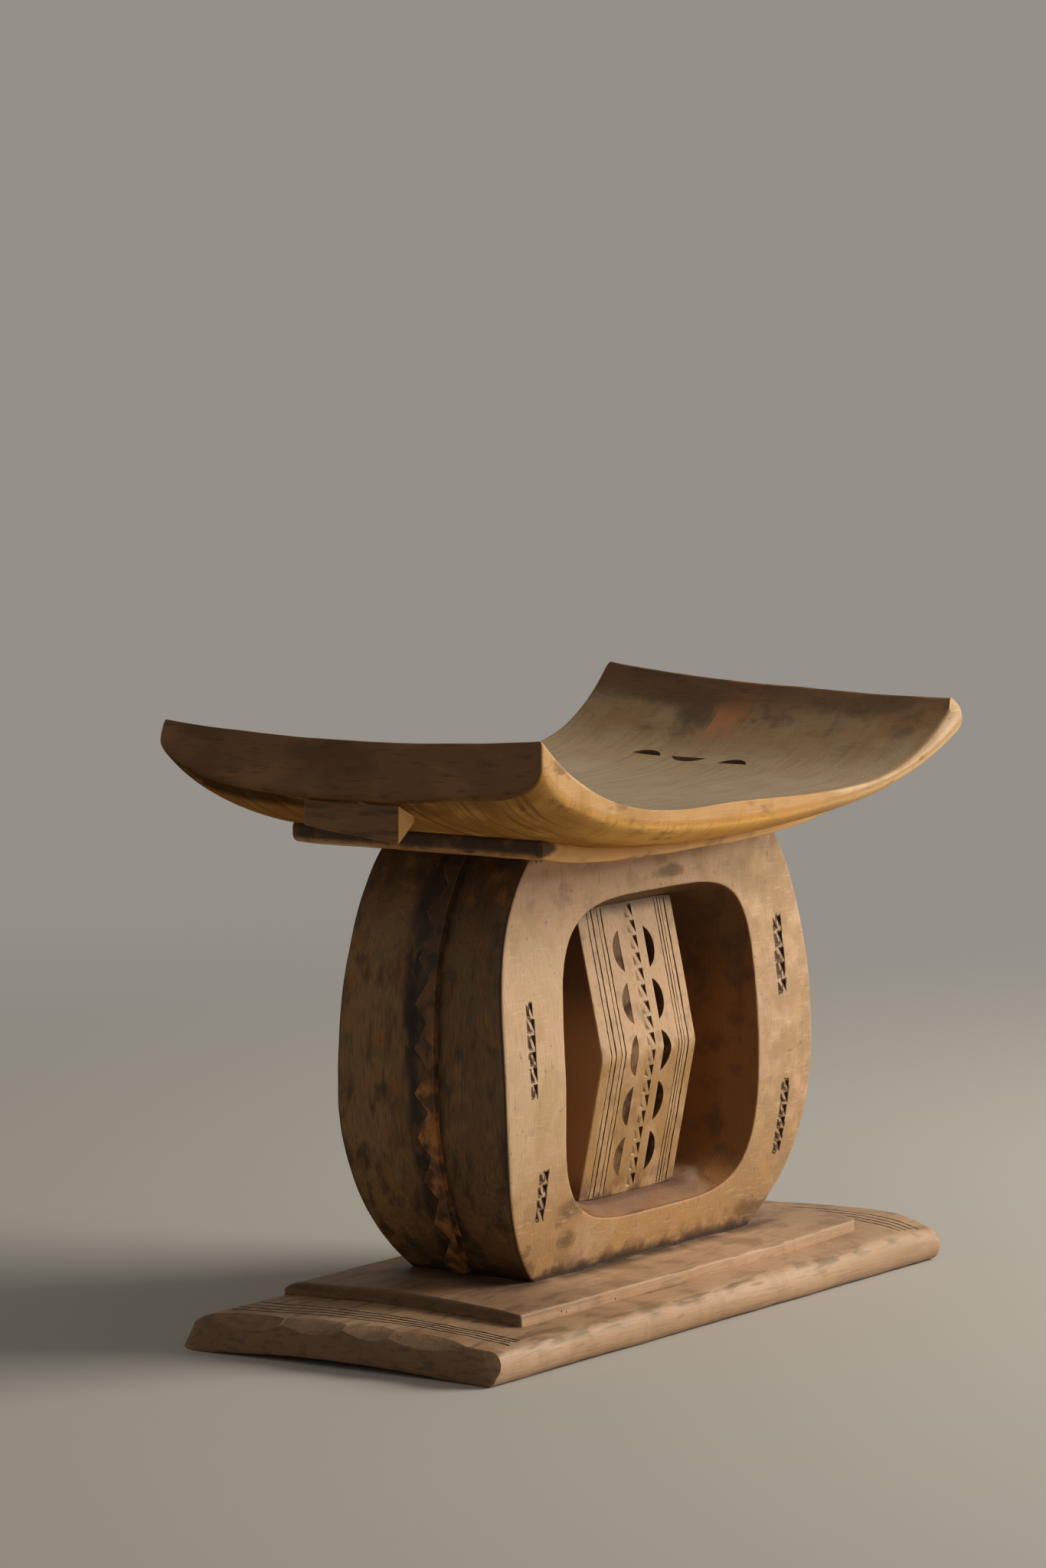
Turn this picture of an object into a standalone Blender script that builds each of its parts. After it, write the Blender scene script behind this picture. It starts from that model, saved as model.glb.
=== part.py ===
"""Carved wooden stool: a curved seat on a bulging ring with a chip-carved centre column and a stepped base.

Units are metres, +Z is up, +X runs along the stool and +Y towards its back. The origin lies under the
middle of the base, on the surface that the stool stands on.
"""

import math

import bmesh
import bpy
from mathutils import Matrix, Vector

# Fits
GAP = 0.0003  # between neighbouring pieces
CUT_MARGIN = 0.01  # how far a cutter reaches past what it cuts
NOTCH_LEAD = 0.001  # how far a notch's slope runs on past its straight edge, clear of the wood
NOTCH_EDGE_DEPTH = 0.0003  # a notch's depth at the ends of its straight edge
WELD = 0.000001  # points closer than this are one
CAP_FACING = 0.5  # a prism's caps face along its length by more than this

# Base slab
SLAB_LENGTH = 0.479
SLAB_WIDTH = 0.238
SLAB_EDGE_HEIGHT = 0.021
SLAB_CROWN = 0.005  # rise of the top from its long edges to the middle
SLAB_NOSE = 0.008  # how far the rounded long edges stand out
SLAB_FOOT_WIDTH = 0.022  # flat strip along each long edge that the stool stands on
SLAB_ARCH = 0.004  # rise of the hollow underside between the feet
SLAB_END_BEVEL = 0.005
GROOVE_COUNT = 4  # grooves across the top near each end
GROOVE_PITCH = 0.006
GROOVE_WIDTH = 0.0014
GROOVE_DEPTH = 0.0012
GROOVE_TO_END = 0.0175  # from the outermost groove to the end of the slab

# Base step
STEP_LENGTH = 0.36
STEP_WIDTH = 0.184
STEP_EDGE_HEIGHT = 0.008  # above the slab, at the long edges
STEP_CROWN = 0.004  # rise of the top from its long edges to the middle
STEP_BEVEL = 0.002

# Ring
RING_SHIFT_X = 0.006  # the ring stands this far to the right of the base's middle
RING_HALF_WIDTH = 0.1637
RING_HALF_HEIGHT = 0.1667  # of the full outline, before its foot and head are cut off
RING_CENTRE_Z = 0.1711
RING_SQUARENESS = 2.6  # 2 is an ellipse, more is nearer to a rectangle
RING_FOOT_DEPTH = 0.095
RING_MIDDLE_DEPTH = 0.132
RING_HEAD_DEPTH = 0.116
RING_FOOT_Z = 0.036  # where the front and back faces are at their foot depth
RING_BULGE_Z = 0.15  # where they bulge most
RING_HEAD_Z = 0.28  # where they reach their head depth
RING_BEVEL = 0.0025
MOUTH_HALF_WIDTH = 0.1026
MOUTH_HALF_HEIGHT = 0.1012
MOUTH_CENTRE_Z = 0.1643
MOUTH_SQUARENESS = 4.3
THROAT_INSET = 0.0095  # the opening narrows by this all round, inside its flared mouth
THROAT_HALF_DEPTH = 0.036

# Centre column
COLUMN_HALF_WIDTH = 0.05
COLUMN_CREASE_HALF_DEPTH = 0.0539
COLUMN_END_HALF_DEPTH = 0.034
COLUMN_BEVEL = 0.0012
CRESCENT_ROWS = 5
CRESCENT_PITCH = 0.0325
CRESCENT_CHORD = 0.0255
CRESCENT_BOW = 0.0076
CRESCENT_DEPTH = 0.0065  # along its bowed edge
CRESCENT_TO_MIDDLE_LEFT = 0.012  # from the column's middle line to a crescent's straight edge
CRESCENT_TO_MIDDLE_RIGHT = 0.016

# Toothed ribs on the ring's two ends
RIB_FRONT_Y = -0.0145
RIB_SPINE_WIDTH = 0.0055
RIB_TOOTH_DEPTH = 0.0095
RIB_TOOTH_PITCH = 0.0275
RIB_TOOTH_COUNT = 10
RIB_TIP_SHARE = 0.4  # part of the pitch from a tooth's lower root to its tip
RIB_LOWEST_ROOT_Z = 0.033  # below the step's top, where the rib is cut off
RIB_HEIGHT = 0.005  # how far the rib stands proud of the ring
TONGUE_MARGIN_Y = 0.001  # the tongue is narrower than the spine by this on each side
TONGUE_BOTTOM_Z = 0.06
TONGUE_TOP_Z = 0.27
TONGUE_DEPTH = 0.004

# Seat
SEAT_LENGTH = 0.45
SEAT_WIDTH_LEFT = 0.293
SEAT_WIDTH_RIGHT = 0.284
SEAT_TOP_Z = 0.3225  # the lowest point of the sitting surface
SEAT_RISE = 0.0542  # from there to the middle of each end
SEAT_RISE_POWER_FRONT = 3.9  # a flat middle that turns up steeply at the ends
SEAT_RISE_POWER_BACK = 6.5  # flatter and steeper along the back edge
SEAT_DISH = 0.006  # rise from the middle line to the long edges
SEAT_LEAN = 0.018  # hand-cut lean of the surface, rise for each unit of Y
SEAT_TWIST = 0.016  # change of the lean from the middle to each end
SEAT_SWELL = 0.005  # how far the front stands out below its rim at the right end
SEAT_SWELL_POWER = 2.0
SEAT_BACK_SLOPE = 0.37  # how far the back leans in towards the rim, for each unit of its height
SEAT_BEVEL = 0.003
HULL_Z = 0.3  # lowest point of the underside
HULL_RISE = 0.0395  # from there to the middle of each end
HULL_QUADRATIC_SHARE = 0.43  # the rest of the rise grows with the fourth power
HULL_FLAT_MIDDLE = 0.085  # the underside rolls up to the long edges outside this half width
HULL_FLAT_END_FRONT = 0.1
HULL_FLAT_END_BACK = 0.03
HULL_ROLL_MIDDLE = 0.018  # rise of the roll
HULL_ROLL_END_FRONT = 0.021
HULL_ROLL_END_BACK = 0.03
HULL_ROLL_POWER = 8.0  # how late the roll changes from its middle to its end shape
NOTCH_ROW_X = 0.157  # a row of crescent notches across the seat, on each side of its middle
NOTCH_SHIFT_Y = 0.0223
NOTCH_PITCH = 0.034
NOTCH_CHORD = 0.023
NOTCH_BOW = 0.01
NOTCH_DEPTH = 0.008

# Cradle between the ring and the seat
CRADLE_LENGTH = 0.32
CRADLE_WIDTH = 0.194
CRADLE_THICKNESS = 0.0062  # in the middle
CRADLE_RISE_LEFT = 0.0095  # rise of its underside from the middle to the left end
CRADLE_RISE_RIGHT = 0.0125
CRADLE_RISE_POWER_LEFT = 4.0
CRADLE_RISE_POWER_RIGHT = 3.0
CRADLE_BEVEL = 0.0035

# Grip lugs under the two ends of the seat
LUG_WIDTH = 0.073
LUG_OUTER_TO_END = 0.005  # from the lug's outer face to the end of the seat
LUG_SETBACK = 0.001  # the outer face leans out by this towards its lower edge
LUG_TOP_WIDTH = 0.015
LUG_DROP = 0.0195  # from the seat's underside to the middle of the lug's lower edge
LUG_TAPER = 0.11  # rise of the lower edge for each unit of Y
LUG_INNER_DROP = 0.003  # from the underside to where the inner slope starts
LUG_BEVEL = 0.0025

# Pegs
PEG_RADIUS = 0.007
PEG_SPACING_X = 0.16
PEG_SPACING_Y = 0.048
BASE_PEG_IN_SLAB = 0.013
BASE_PEG_IN_RING = 0.02
SEAT_PEG_IN_RING = 0.02
SEAT_PEG_IN_SEAT = 0.0105
COLUMN_PEG_IN_COLUMN = 0.03
COLUMN_PEG_RECESS = 0.004  # the peg's end lies this far inside the ring's hole
LUG_PEG_RADIUS = 0.003
LUG_PEG_SPACING = 0.04
LUG_PEG_IN_LUG = 0.009
LUG_PEG_IN_SEAT = 0.016
LUG_PEG_TO_OUTER_FACE = 0.0058

# Facets
RING_POINTS = 56
FACE_STRIP_COUNT = 2  # across the ring's front and back faces
SEAT_SECTION_COUNT = 28  # lengths that the seat is divided into
SEAT_TOP_POINTS = 12  # across the sitting surface
ROLL_POINTS = 6  # from the flat of the underside to a long edge
CURVE_POINTS = 12  # along a crown, an arch or a plate's curve
NOSE_POINTS = 8
BOW_POINTS = 8
PEG_SIDE_COUNT = 16

# Edges
BEVEL_ANGLE = math.radians(50)  # edges that turn by less stay as they are
RING_BEVEL_ANGLE = math.radians(35)
SHARP_ANGLE = math.radians(30)

# Colour and roughness of each wood
WOODS = {
    "base_wood": ((0.36, 0.24, 0.15), 0.62),
    "ring_wood": ((0.42, 0.28, 0.17), 0.58),
    "column_wood": ((0.40, 0.27, 0.16), 0.60),
    "rib_wood": ((0.24, 0.12, 0.06), 0.65),
    "seat_wood": ((0.38, 0.26, 0.14), 0.52),
    "peg_wood": ((0.45, 0.33, 0.20), 0.70),
}

# An outline's (across, up, along) axes turned to run along world X or world Y
ALONG_X = Matrix(((0, 0, 1, 0), (1, 0, 0, 0), (0, 1, 0, 0), (0, 0, 0, 1)))
ALONG_Y = Matrix(((1, 0, 0, 0), (0, 0, -1, 0), (0, 1, 0, 0), (0, 0, 0, 1)))

LEFT = -1
RIGHT = 1
SIDE_NAMES = {LEFT: "left", RIGHT: "right"}
DEPTH_NAMES = {-1: "front", 1: "back"}


# Heights of the surfaces that the pieces share


def slab_top(y):
    return SLAB_EDGE_HEIGHT + SLAB_CROWN * (1 - (2 * y / SLAB_WIDTH) ** 2)


def step_top(y):
    edge = slab_top(STEP_WIDTH / 2) + STEP_EDGE_HEIGHT
    return edge + STEP_CROWN * (1 - (2 * y / STEP_WIDTH) ** 2)


def seat_half_width(x):
    share = x / SEAT_LENGTH + 0.5
    return (SEAT_WIDTH_LEFT + (SEAT_WIDTH_RIGHT - SEAT_WIDTH_LEFT) * share) / 2


def seat_top(x, y):
    reach = 2 * x / SEAT_LENGTH
    across = y / seat_half_width(x)
    backward = (1 + across) / 2
    power = SEAT_RISE_POWER_FRONT + (SEAT_RISE_POWER_BACK - SEAT_RISE_POWER_FRONT) * backward
    lean = SEAT_LEAN + SEAT_TWIST * reach
    return SEAT_TOP_Z + SEAT_RISE * abs(reach) ** power + SEAT_DISH * across**2 + lean * y


def hull_keel(x):
    """The underside of the seat along its middle line."""
    reach = abs(2 * x / SEAT_LENGTH)
    share = HULL_QUADRATIC_SHARE * reach**2 + (1 - HULL_QUADRATIC_SHARE) * reach**4
    return HULL_Z + HULL_RISE * share


def hull_roll(x, depth):
    """How far the underside rises from the keel to the front (depth -1) or back (depth 1) edge."""
    reach = abs(2 * x / SEAT_LENGTH)
    end = HULL_ROLL_END_FRONT if depth < 0 else HULL_ROLL_END_BACK
    return HULL_ROLL_MIDDLE + (end - HULL_ROLL_MIDDLE) * reach**HULL_ROLL_POWER


def hull_flat(x, depth):
    """How far the underside lies level with the keel, to the front (depth -1) or back (depth 1)."""
    reach = abs(2 * x / SEAT_LENGTH)
    end = HULL_FLAT_END_FRONT if depth < 0 else HULL_FLAT_END_BACK
    return HULL_FLAT_MIDDLE + (end - HULL_FLAT_MIDDLE) * reach**HULL_ROLL_POWER


def hull(x, y):
    """The underside of the seat, which rolls up to a vertical side at its long edges."""
    flat = hull_flat(x, y)
    share = max(0.0, abs(y) - flat) / (seat_half_width(x) - flat)
    return hull_keel(x) + hull_roll(x, y) * (1 - math.sqrt(1 - share**2))


def cradle_bottom(x):
    rise, power = CRADLE_RISE_RIGHT, CRADLE_RISE_POWER_RIGHT
    if x < 0:
        rise, power = CRADLE_RISE_LEFT, CRADLE_RISE_POWER_LEFT
    return HULL_Z - CRADLE_THICKNESS + rise * abs(2 * x / CRADLE_LENGTH) ** power


def ring_half_depth(z):
    if z < RING_BULGE_Z:
        share = min(1.0, (RING_BULGE_Z - z) / (RING_BULGE_Z - RING_FOOT_Z))
        return (RING_MIDDLE_DEPTH - (RING_MIDDLE_DEPTH - RING_FOOT_DEPTH) * share**2) / 2
    share = min(1.0, (z - RING_BULGE_Z) / (RING_HEAD_Z - RING_BULGE_Z))
    fall = math.sin(share * math.pi / 2) ** 2
    return (RING_MIDDLE_DEPTH - (RING_MIDDLE_DEPTH - RING_HEAD_DEPTH) * fall) / 2


def column_half_depth(z):
    half_height = MOUTH_HALF_HEIGHT - THROAT_INSET
    slope = (COLUMN_CREASE_HALF_DEPTH - COLUMN_END_HALF_DEPTH) / half_height
    return COLUMN_CREASE_HALF_DEPTH - slope * abs(z - MOUTH_CENTRE_Z)


# Outlines


def spread(low, high, count):
    """count + 1 evenly spaced values."""
    return [low + (high - low) * step / count for step in range(count + 1)]


def rounded_outline(half_width, half_height, centre_z, squareness, grow=0.0):
    """(x, z) points of a superellipse, moved outwards by grow."""
    points = []
    for step in range(RING_POINTS):
        angle = 2 * math.pi * step / RING_POINTS
        across = abs(math.cos(angle)) / half_width
        up = abs(math.sin(angle)) / half_height
        radius = (across**squareness + up**squareness) ** (-1 / squareness) + grow
        points.append((radius * math.cos(angle), centre_z + radius * math.sin(angle)))
    return points


def ring_outline(grow=0.0):
    return rounded_outline(RING_HALF_WIDTH, RING_HALF_HEIGHT, RING_CENTRE_Z, RING_SQUARENESS, grow)


def mouth_outline(grow=0.0):
    return rounded_outline(MOUTH_HALF_WIDTH, MOUTH_HALF_HEIGHT, MOUTH_CENTRE_Z, MOUTH_SQUARENESS, grow)


def slab_outline():
    half_width = SLAB_WIDTH / 2
    shoulder = half_width - SLAB_NOSE
    arch_half_width = shoulder - SLAB_FOOT_WIDTH
    half_height = slab_top(shoulder) / 2
    points = [(-shoulder, 0.0)]
    for y in spread(-arch_half_width, arch_half_width, CURVE_POINTS):
        points.append((y, SLAB_ARCH * (1 - (y / arch_half_width) ** 2)))
    for angle in spread(-math.pi / 2, math.pi / 2, NOSE_POINTS):
        points.append((shoulder + SLAB_NOSE * math.cos(angle), half_height * (1 + math.sin(angle))))
    for y in spread(shoulder, -shoulder, CURVE_POINTS)[1:]:
        points.append((y, slab_top(y)))
    for angle in spread(math.pi / 2, 1.5 * math.pi, NOSE_POINTS)[1:-1]:
        points.append((-shoulder + SLAB_NOSE * math.cos(angle), half_height * (1 + math.sin(angle))))
    return points


def step_outline():
    ys = spread(-STEP_WIDTH / 2, STEP_WIDTH / 2, CURVE_POINTS)
    lower = [(y, slab_top(y) + GAP) for y in ys]
    upper = [(y, step_top(y)) for y in reversed(ys)]
    return lower + upper


def column_outline():
    half_height = MOUTH_HALF_HEIGHT - THROAT_INSET + CUT_MARGIN
    ends = (MOUTH_CENTRE_Z - half_height, MOUTH_CENTRE_Z, MOUTH_CENTRE_Z + half_height)
    front = [(-column_half_depth(z), z) for z in ends]
    back = [(column_half_depth(z), z) for z in reversed(ends)]
    return front + back


def cradle_outline():
    xs = spread(-CRADLE_LENGTH / 2, CRADLE_LENGTH / 2, CURVE_POINTS)
    lower = [(x, cradle_bottom(x)) for x in xs]
    top = hull(CRADLE_LENGTH / 2, CRADLE_WIDTH / 2) + CUT_MARGIN
    return lower + [(CRADLE_LENGTH / 2, top), (-CRADLE_LENGTH / 2, top)]


def lug_outline(side):
    outer_x = SEAT_LENGTH / 2 - LUG_OUTER_TO_END
    inner_x = outer_x - LUG_TOP_WIDTH
    top = hull_keel(outer_x) + CUT_MARGIN
    tip_z = hull_keel(outer_x) - LUG_DROP
    points = [
        (outer_x, top),
        (outer_x + LUG_SETBACK, tip_z),
        (inner_x, hull_keel(inner_x) - LUG_INNER_DROP),
        (inner_x, top),
    ]
    return [(side * x, z) for x, z in points]


def rib_outline():
    root_y = RIB_FRONT_Y + RIB_SPINE_WIDTH
    top_z = RIB_LOWEST_ROOT_Z + RIB_TOOTH_COUNT * RIB_TOOTH_PITCH
    points = [(RIB_FRONT_Y, top_z), (RIB_FRONT_Y, RIB_LOWEST_ROOT_Z)]
    for tooth in range(RIB_TOOTH_COUNT):
        root_z = RIB_LOWEST_ROOT_Z + tooth * RIB_TOOTH_PITCH
        points.append((root_y, root_z))
        points.append((root_y + RIB_TOOTH_DEPTH, root_z + RIB_TIP_SHARE * RIB_TOOTH_PITCH))
    points.append((root_y, top_z))
    return points


def tongue_outline(grow):
    low_y = RIB_FRONT_Y + TONGUE_MARGIN_Y - grow
    high_y = RIB_FRONT_Y + RIB_SPINE_WIDTH - TONGUE_MARGIN_Y + grow
    low_z = TONGUE_BOTTOM_Z - grow
    high_z = TONGUE_TOP_Z + grow
    return [(low_y, low_z), (high_y, low_z), (high_y, high_z), (low_y, high_z)]


def seat_section(x, lowered, flat_top):
    """(x, y, z) points round the seat at x: the rolled underside, then the sitting surface."""
    half_width = seat_half_width(x)
    swell = SEAT_SWELL * max(0.0, 2 * x / SEAT_LENGTH) ** SEAT_SWELL_POWER
    points = []
    for depth, edge, start in ((-1, half_width + swell, -math.pi / 2), (1, half_width, 0.0)):
        flat = hull_flat(x, depth)
        for angle in spread(start, start + math.pi / 2, ROLL_POINTS):
            y = depth * flat + (edge - flat) * math.sin(angle)
            z = hull_keel(x) + hull_roll(x, depth) * (1 - math.cos(angle)) - lowered
            points.append((x, y, z))
    back_height = seat_top(x, half_width) - hull(x, half_width)
    for y in spread(half_width - SEAT_BACK_SLOPE * back_height, -half_width, SEAT_TOP_POINTS):
        points.append((x, y, seat_top(x, y) if flat_top is None else flat_top))
    return points


# Meshes


def finished_mesh(name, bm):
    """The mesh of bm, with its faces pointing out."""
    bmesh.ops.recalc_face_normals(bm, faces=bm.faces[:])
    mesh = bpy.data.meshes.new(name)
    bm.to_mesh(mesh)
    bm.free()
    return mesh


def outline_prism(name, outline, half_length, turned, start=0.0):
    """A flat outline made solid along its turned third axis, half_length to each side of start."""
    curve = bpy.data.curves.new(name, "CURVE")
    curve.dimensions = "2D"
    curve.fill_mode = "BOTH"
    curve.extrude = half_length
    spline = curve.splines.new("POLY")
    spline.points.add(len(outline) - 1)
    for point, (across, up) in zip(spline.points, outline):
        point.co = (across, up, 0.0, 1.0)
    spline.use_cyclic_u = True
    guide = bpy.data.objects.new(name, curve)
    bpy.context.scene.collection.objects.link(guide)
    bpy.context.view_layer.update()
    evaluated = guide.evaluated_get(bpy.context.evaluated_depsgraph_get())
    flat = bpy.data.meshes.new_from_object(evaluated)
    bm = bmesh.new()
    bm.from_mesh(flat)
    bmesh.ops.remove_doubles(bm, verts=bm.verts[:], dist=WELD)
    bm.normal_update()
    for end in (-1, 1):
        cap = [face for face in bm.faces if face.normal.z * end > CAP_FACING]
        bmesh.ops.dissolve_faces(bm, faces=cap)
    bmesh.ops.translate(bm, verts=bm.verts[:], vec=(0.0, 0.0, start))
    bmesh.ops.transform(bm, matrix=turned, verts=bm.verts[:])
    bpy.data.objects.remove(guide)
    bpy.data.curves.remove(curve)
    bpy.data.meshes.remove(flat)
    return finished_mesh(name, bm)


def loft(name, loops, closed):
    """Loops of equal count joined in turn. A closed loft joins its last to its first, an open one has caps."""
    bm = bmesh.new()
    rows = [[bm.verts.new(point) for point in loop] for loop in loops]
    pairs = list(zip(rows, rows[1:]))
    if closed:
        pairs.append((rows[-1], rows[0]))
    else:
        bm.faces.new(rows[0])
        bm.faces.new(rows[-1])
    for row, following in pairs:
        for here in range(len(row)):
            after = (here + 1) % len(row)
            bm.faces.new((row[here], row[after], following[after], following[here]))
    return finished_mesh(name, bm)


def between(first, second, share):
    """The outline that lies this share of the way from the first outline to the second."""
    pairs = zip(first, second)
    return [(x + (to_x - x) * share, z + (to_z - z) * share) for (x, z), (to_x, to_z) in pairs]


def ring_mesh(name):
    """Front face, flared mouth, throat, second mouth and back face of the ring."""
    throat = mouth_outline(-THROAT_INSET)
    face = [between(ring_outline(), mouth_outline(), share) for share in spread(0.0, 1.0, FACE_STRIP_COUNT)]
    loops = [[(x, -ring_half_depth(z), z) for x, z in outline] for outline in face]
    loops.append([(x, -THROAT_HALF_DEPTH, z) for x, z in throat])
    loops.append([(x, THROAT_HALF_DEPTH, z) for x, z in throat])
    loops += [[(x, ring_half_depth(z), z) for x, z in outline] for outline in reversed(face)]
    return loft(name, loops, closed=True)


def seat_mesh(name, lowered=0.0, flat_top=None):
    """The seat. lowered moves its underside down, and flat_top gives it a level top in place of the curve."""
    xs = spread(-SEAT_LENGTH / 2, SEAT_LENGTH / 2, SEAT_SECTION_COUNT)
    return loft(name, [seat_section(x, lowered, flat_top) for x in xs], closed=False)


def round_bar(name, radius, low, high):
    """An upright round bar between two points of one vertical line."""
    bm = bmesh.new()
    bmesh.ops.create_cone(
        bm,
        cap_ends=True,
        segments=PEG_SIDE_COUNT,
        radius1=radius,
        radius2=radius,
        depth=high.z - low.z,
        matrix=Matrix.Translation((low + high) / 2),
    )
    return finished_mesh(name, bm)


def add_thumbnail_cut(bm, frame, chord, bow, depth, fold=0.0):
    """A cutter that goes straight down along a bowed edge and slopes up from there to a straight edge.

    In its frame the straight edge lies on the second axis, the bow points along the first axis and the
    third axis points out of the surface. On a creased surface the cutter is folded across its middle, and
    fold is how fast it falls back from there.
    """
    outline = [(-NOTCH_LEAD, chord / 2), (-NOTCH_LEAD, 0.0), (-NOTCH_LEAD, -chord / 2)]
    for along in spread(-chord / 2, chord / 2, BOW_POINTS):
        outline.append((bow * (1 - (2 * along / chord) ** 2), along))
    slope = (depth - NOTCH_EDGE_DEPTH) / bow
    floor = []
    for across, along in outline:
        floor.append(bm.verts.new((across, along, -NOTCH_EDGE_DEPTH - slope * across - fold * abs(along))))
    half = bm.faces.new(floor)
    other_half, _ = bmesh.utils.face_split(half, floor[1], floor[-1 - BOW_POINTS // 2])
    drawn = bmesh.ops.extrude_face_region(bm, geom=[half, other_half])["geom"]
    roof = [element for element in drawn if isinstance(element, bmesh.types.BMVert)]
    for vertex in roof:
        vertex.co.z = CUT_MARGIN
    bmesh.ops.transform(bm, matrix=frame, verts=floor + roof)


def surface_frame(across, along, out, point):
    """A frame at a point of a surface, from its three axes."""
    frame = Matrix((across, along, out)).transposed().to_4x4()
    frame.translation = point
    return frame


# Objects


def clear_scene():
    for thing in list(bpy.data.objects):
        bpy.data.objects.remove(thing, do_unlink=True)


def new_collection(name):
    collection = bpy.data.collections.new(name)
    bpy.context.scene.collection.children.link(collection)
    return collection


def wood(name, colour, roughness):
    material = bpy.data.materials.new(name)
    material.use_nodes = True
    shader = material.node_tree.nodes["Principled BSDF"]
    shader.inputs["Base Color"].default_value = (*colour, 1.0)
    shader.inputs["Roughness"].default_value = roughness
    shader.inputs["Metallic"].default_value = 0.0
    return material


def add_part(name, mesh, material, location=(0.0, 0.0, 0.0)):
    part = bpy.data.objects.new(name, mesh)
    part.location = location
    part.parent = bpy.data.objects["stool_origin"]
    mesh.materials.append(material)
    bpy.data.collections["carved_stool"].objects.link(part)
    return part


def add_cutter(mesh, location=(0.0, 0.0, 0.0)):
    cutter = bpy.data.objects.new(mesh.name, mesh)
    cutter.location = location
    cutter.hide_render = True
    cutter.display_type = "WIRE"
    bpy.data.collections["cutters"].objects.link(cutter)
    return cutter


def boolean(part, cutter, operation="DIFFERENCE"):
    modifier = part.modifiers.new(cutter.name, "BOOLEAN")
    modifier.operation = operation
    modifier.object = cutter


def bevel(part, width, angle=BEVEL_ANGLE, segments=2):
    modifier = part.modifiers.new("edges", "BEVEL")
    modifier.width = width
    modifier.segments = segments
    modifier.limit_method = "ANGLE"
    modifier.angle_limit = angle


def smooth(part):
    part.data.shade_smooth()
    part.data.set_sharp_from_angle(angle=SHARP_ANGLE)


def peg_with_holes(name, radius, low, high, material, holed):
    """A peg between two points, and its hole in each of the pieces that it holds together."""
    peg = add_part(name, round_bar(name, radius, low, high), material)
    smooth(peg)
    end_gap = Vector((0.0, 0.0, GAP))
    hole = round_bar(name + "_hole", radius + GAP, low - end_gap, high + end_gap)
    cutter = add_cutter(hole)
    for part in holed:
        boolean(part, cutter)


# Pieces


def make_base_slab(material):
    mesh = outline_prism("base_slab", slab_outline(), SLAB_LENGTH / 2, ALONG_X)
    slab = add_part("base_slab", mesh, material)
    bevel(slab, SLAB_END_BEVEL)
    ys = spread(-SLAB_WIDTH / 2, SLAB_WIDTH / 2, CURVE_POINTS)
    above = [(y, slab_top(y) - GROOVE_DEPTH) for y in ys]
    roof = slab_top(0.0) + CUT_MARGIN
    above += [(SLAB_WIDTH / 2, roof), (-SLAB_WIDTH / 2, roof)]
    for side in (LEFT, RIGHT):
        for number in range(GROOVE_COUNT):
            x = side * (SLAB_LENGTH / 2 - GROOVE_TO_END - number * GROOVE_PITCH)
            name = f"slab_groove_{SIDE_NAMES[side]}_{number + 1}"
            groove = outline_prism(name, above, GROOVE_WIDTH / 2, ALONG_X, start=x)
            boolean(slab, add_cutter(groove))
    smooth(slab)
    return slab


def make_base_step(material):
    mesh = outline_prism("base_step", step_outline(), STEP_LENGTH / 2, ALONG_X)
    step = add_part("base_step", mesh, material)
    bevel(step, STEP_BEVEL)
    smooth(step)
    return step


def add_seam_cutters():
    """What lies below the step's top and above the cradle's underside, each with the gap of a joint."""
    ys = spread(-STEP_WIDTH / 2, STEP_WIDTH / 2, CURVE_POINTS)
    below = [(y, step_top(y) + GAP) for y in ys]
    below += [(STEP_WIDTH / 2, -CUT_MARGIN), (-STEP_WIDTH / 2, -CUT_MARGIN)]
    foot = outline_prism("below_step_top", below, SEAT_LENGTH / 2, ALONG_X)
    xs = spread(-CRADLE_LENGTH / 2, CRADLE_LENGTH / 2, CURVE_POINTS)
    above = [(x, cradle_bottom(x) - GAP) for x in xs]
    roof = RING_CENTRE_Z + RING_HALF_HEIGHT + CUT_MARGIN
    above += [(CRADLE_LENGTH / 2, roof), (-CRADLE_LENGTH / 2, roof)]
    head = outline_prism("above_cradle_bottom", above, CRADLE_WIDTH / 2, ALONG_Y)
    return add_cutter(foot), add_cutter(head)


def ring_envelope(name, grow):
    """The ring's outer outline, filled and moved outwards by grow."""
    mesh = outline_prism(name, ring_outline(grow), RING_MIDDLE_DEPTH, ALONG_Y)
    return add_cutter(mesh, (RING_SHIFT_X, 0.0, 0.0))


def make_ring(material, seam_cutters):
    ring = add_part("ring_frame", ring_mesh("ring_frame"), material, (RING_SHIFT_X, 0.0, 0.0))
    bevel(ring, RING_BEVEL, RING_BEVEL_ANGLE)
    for cutter in seam_cutters:
        boolean(ring, cutter)
    smooth(ring)
    return ring


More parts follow.
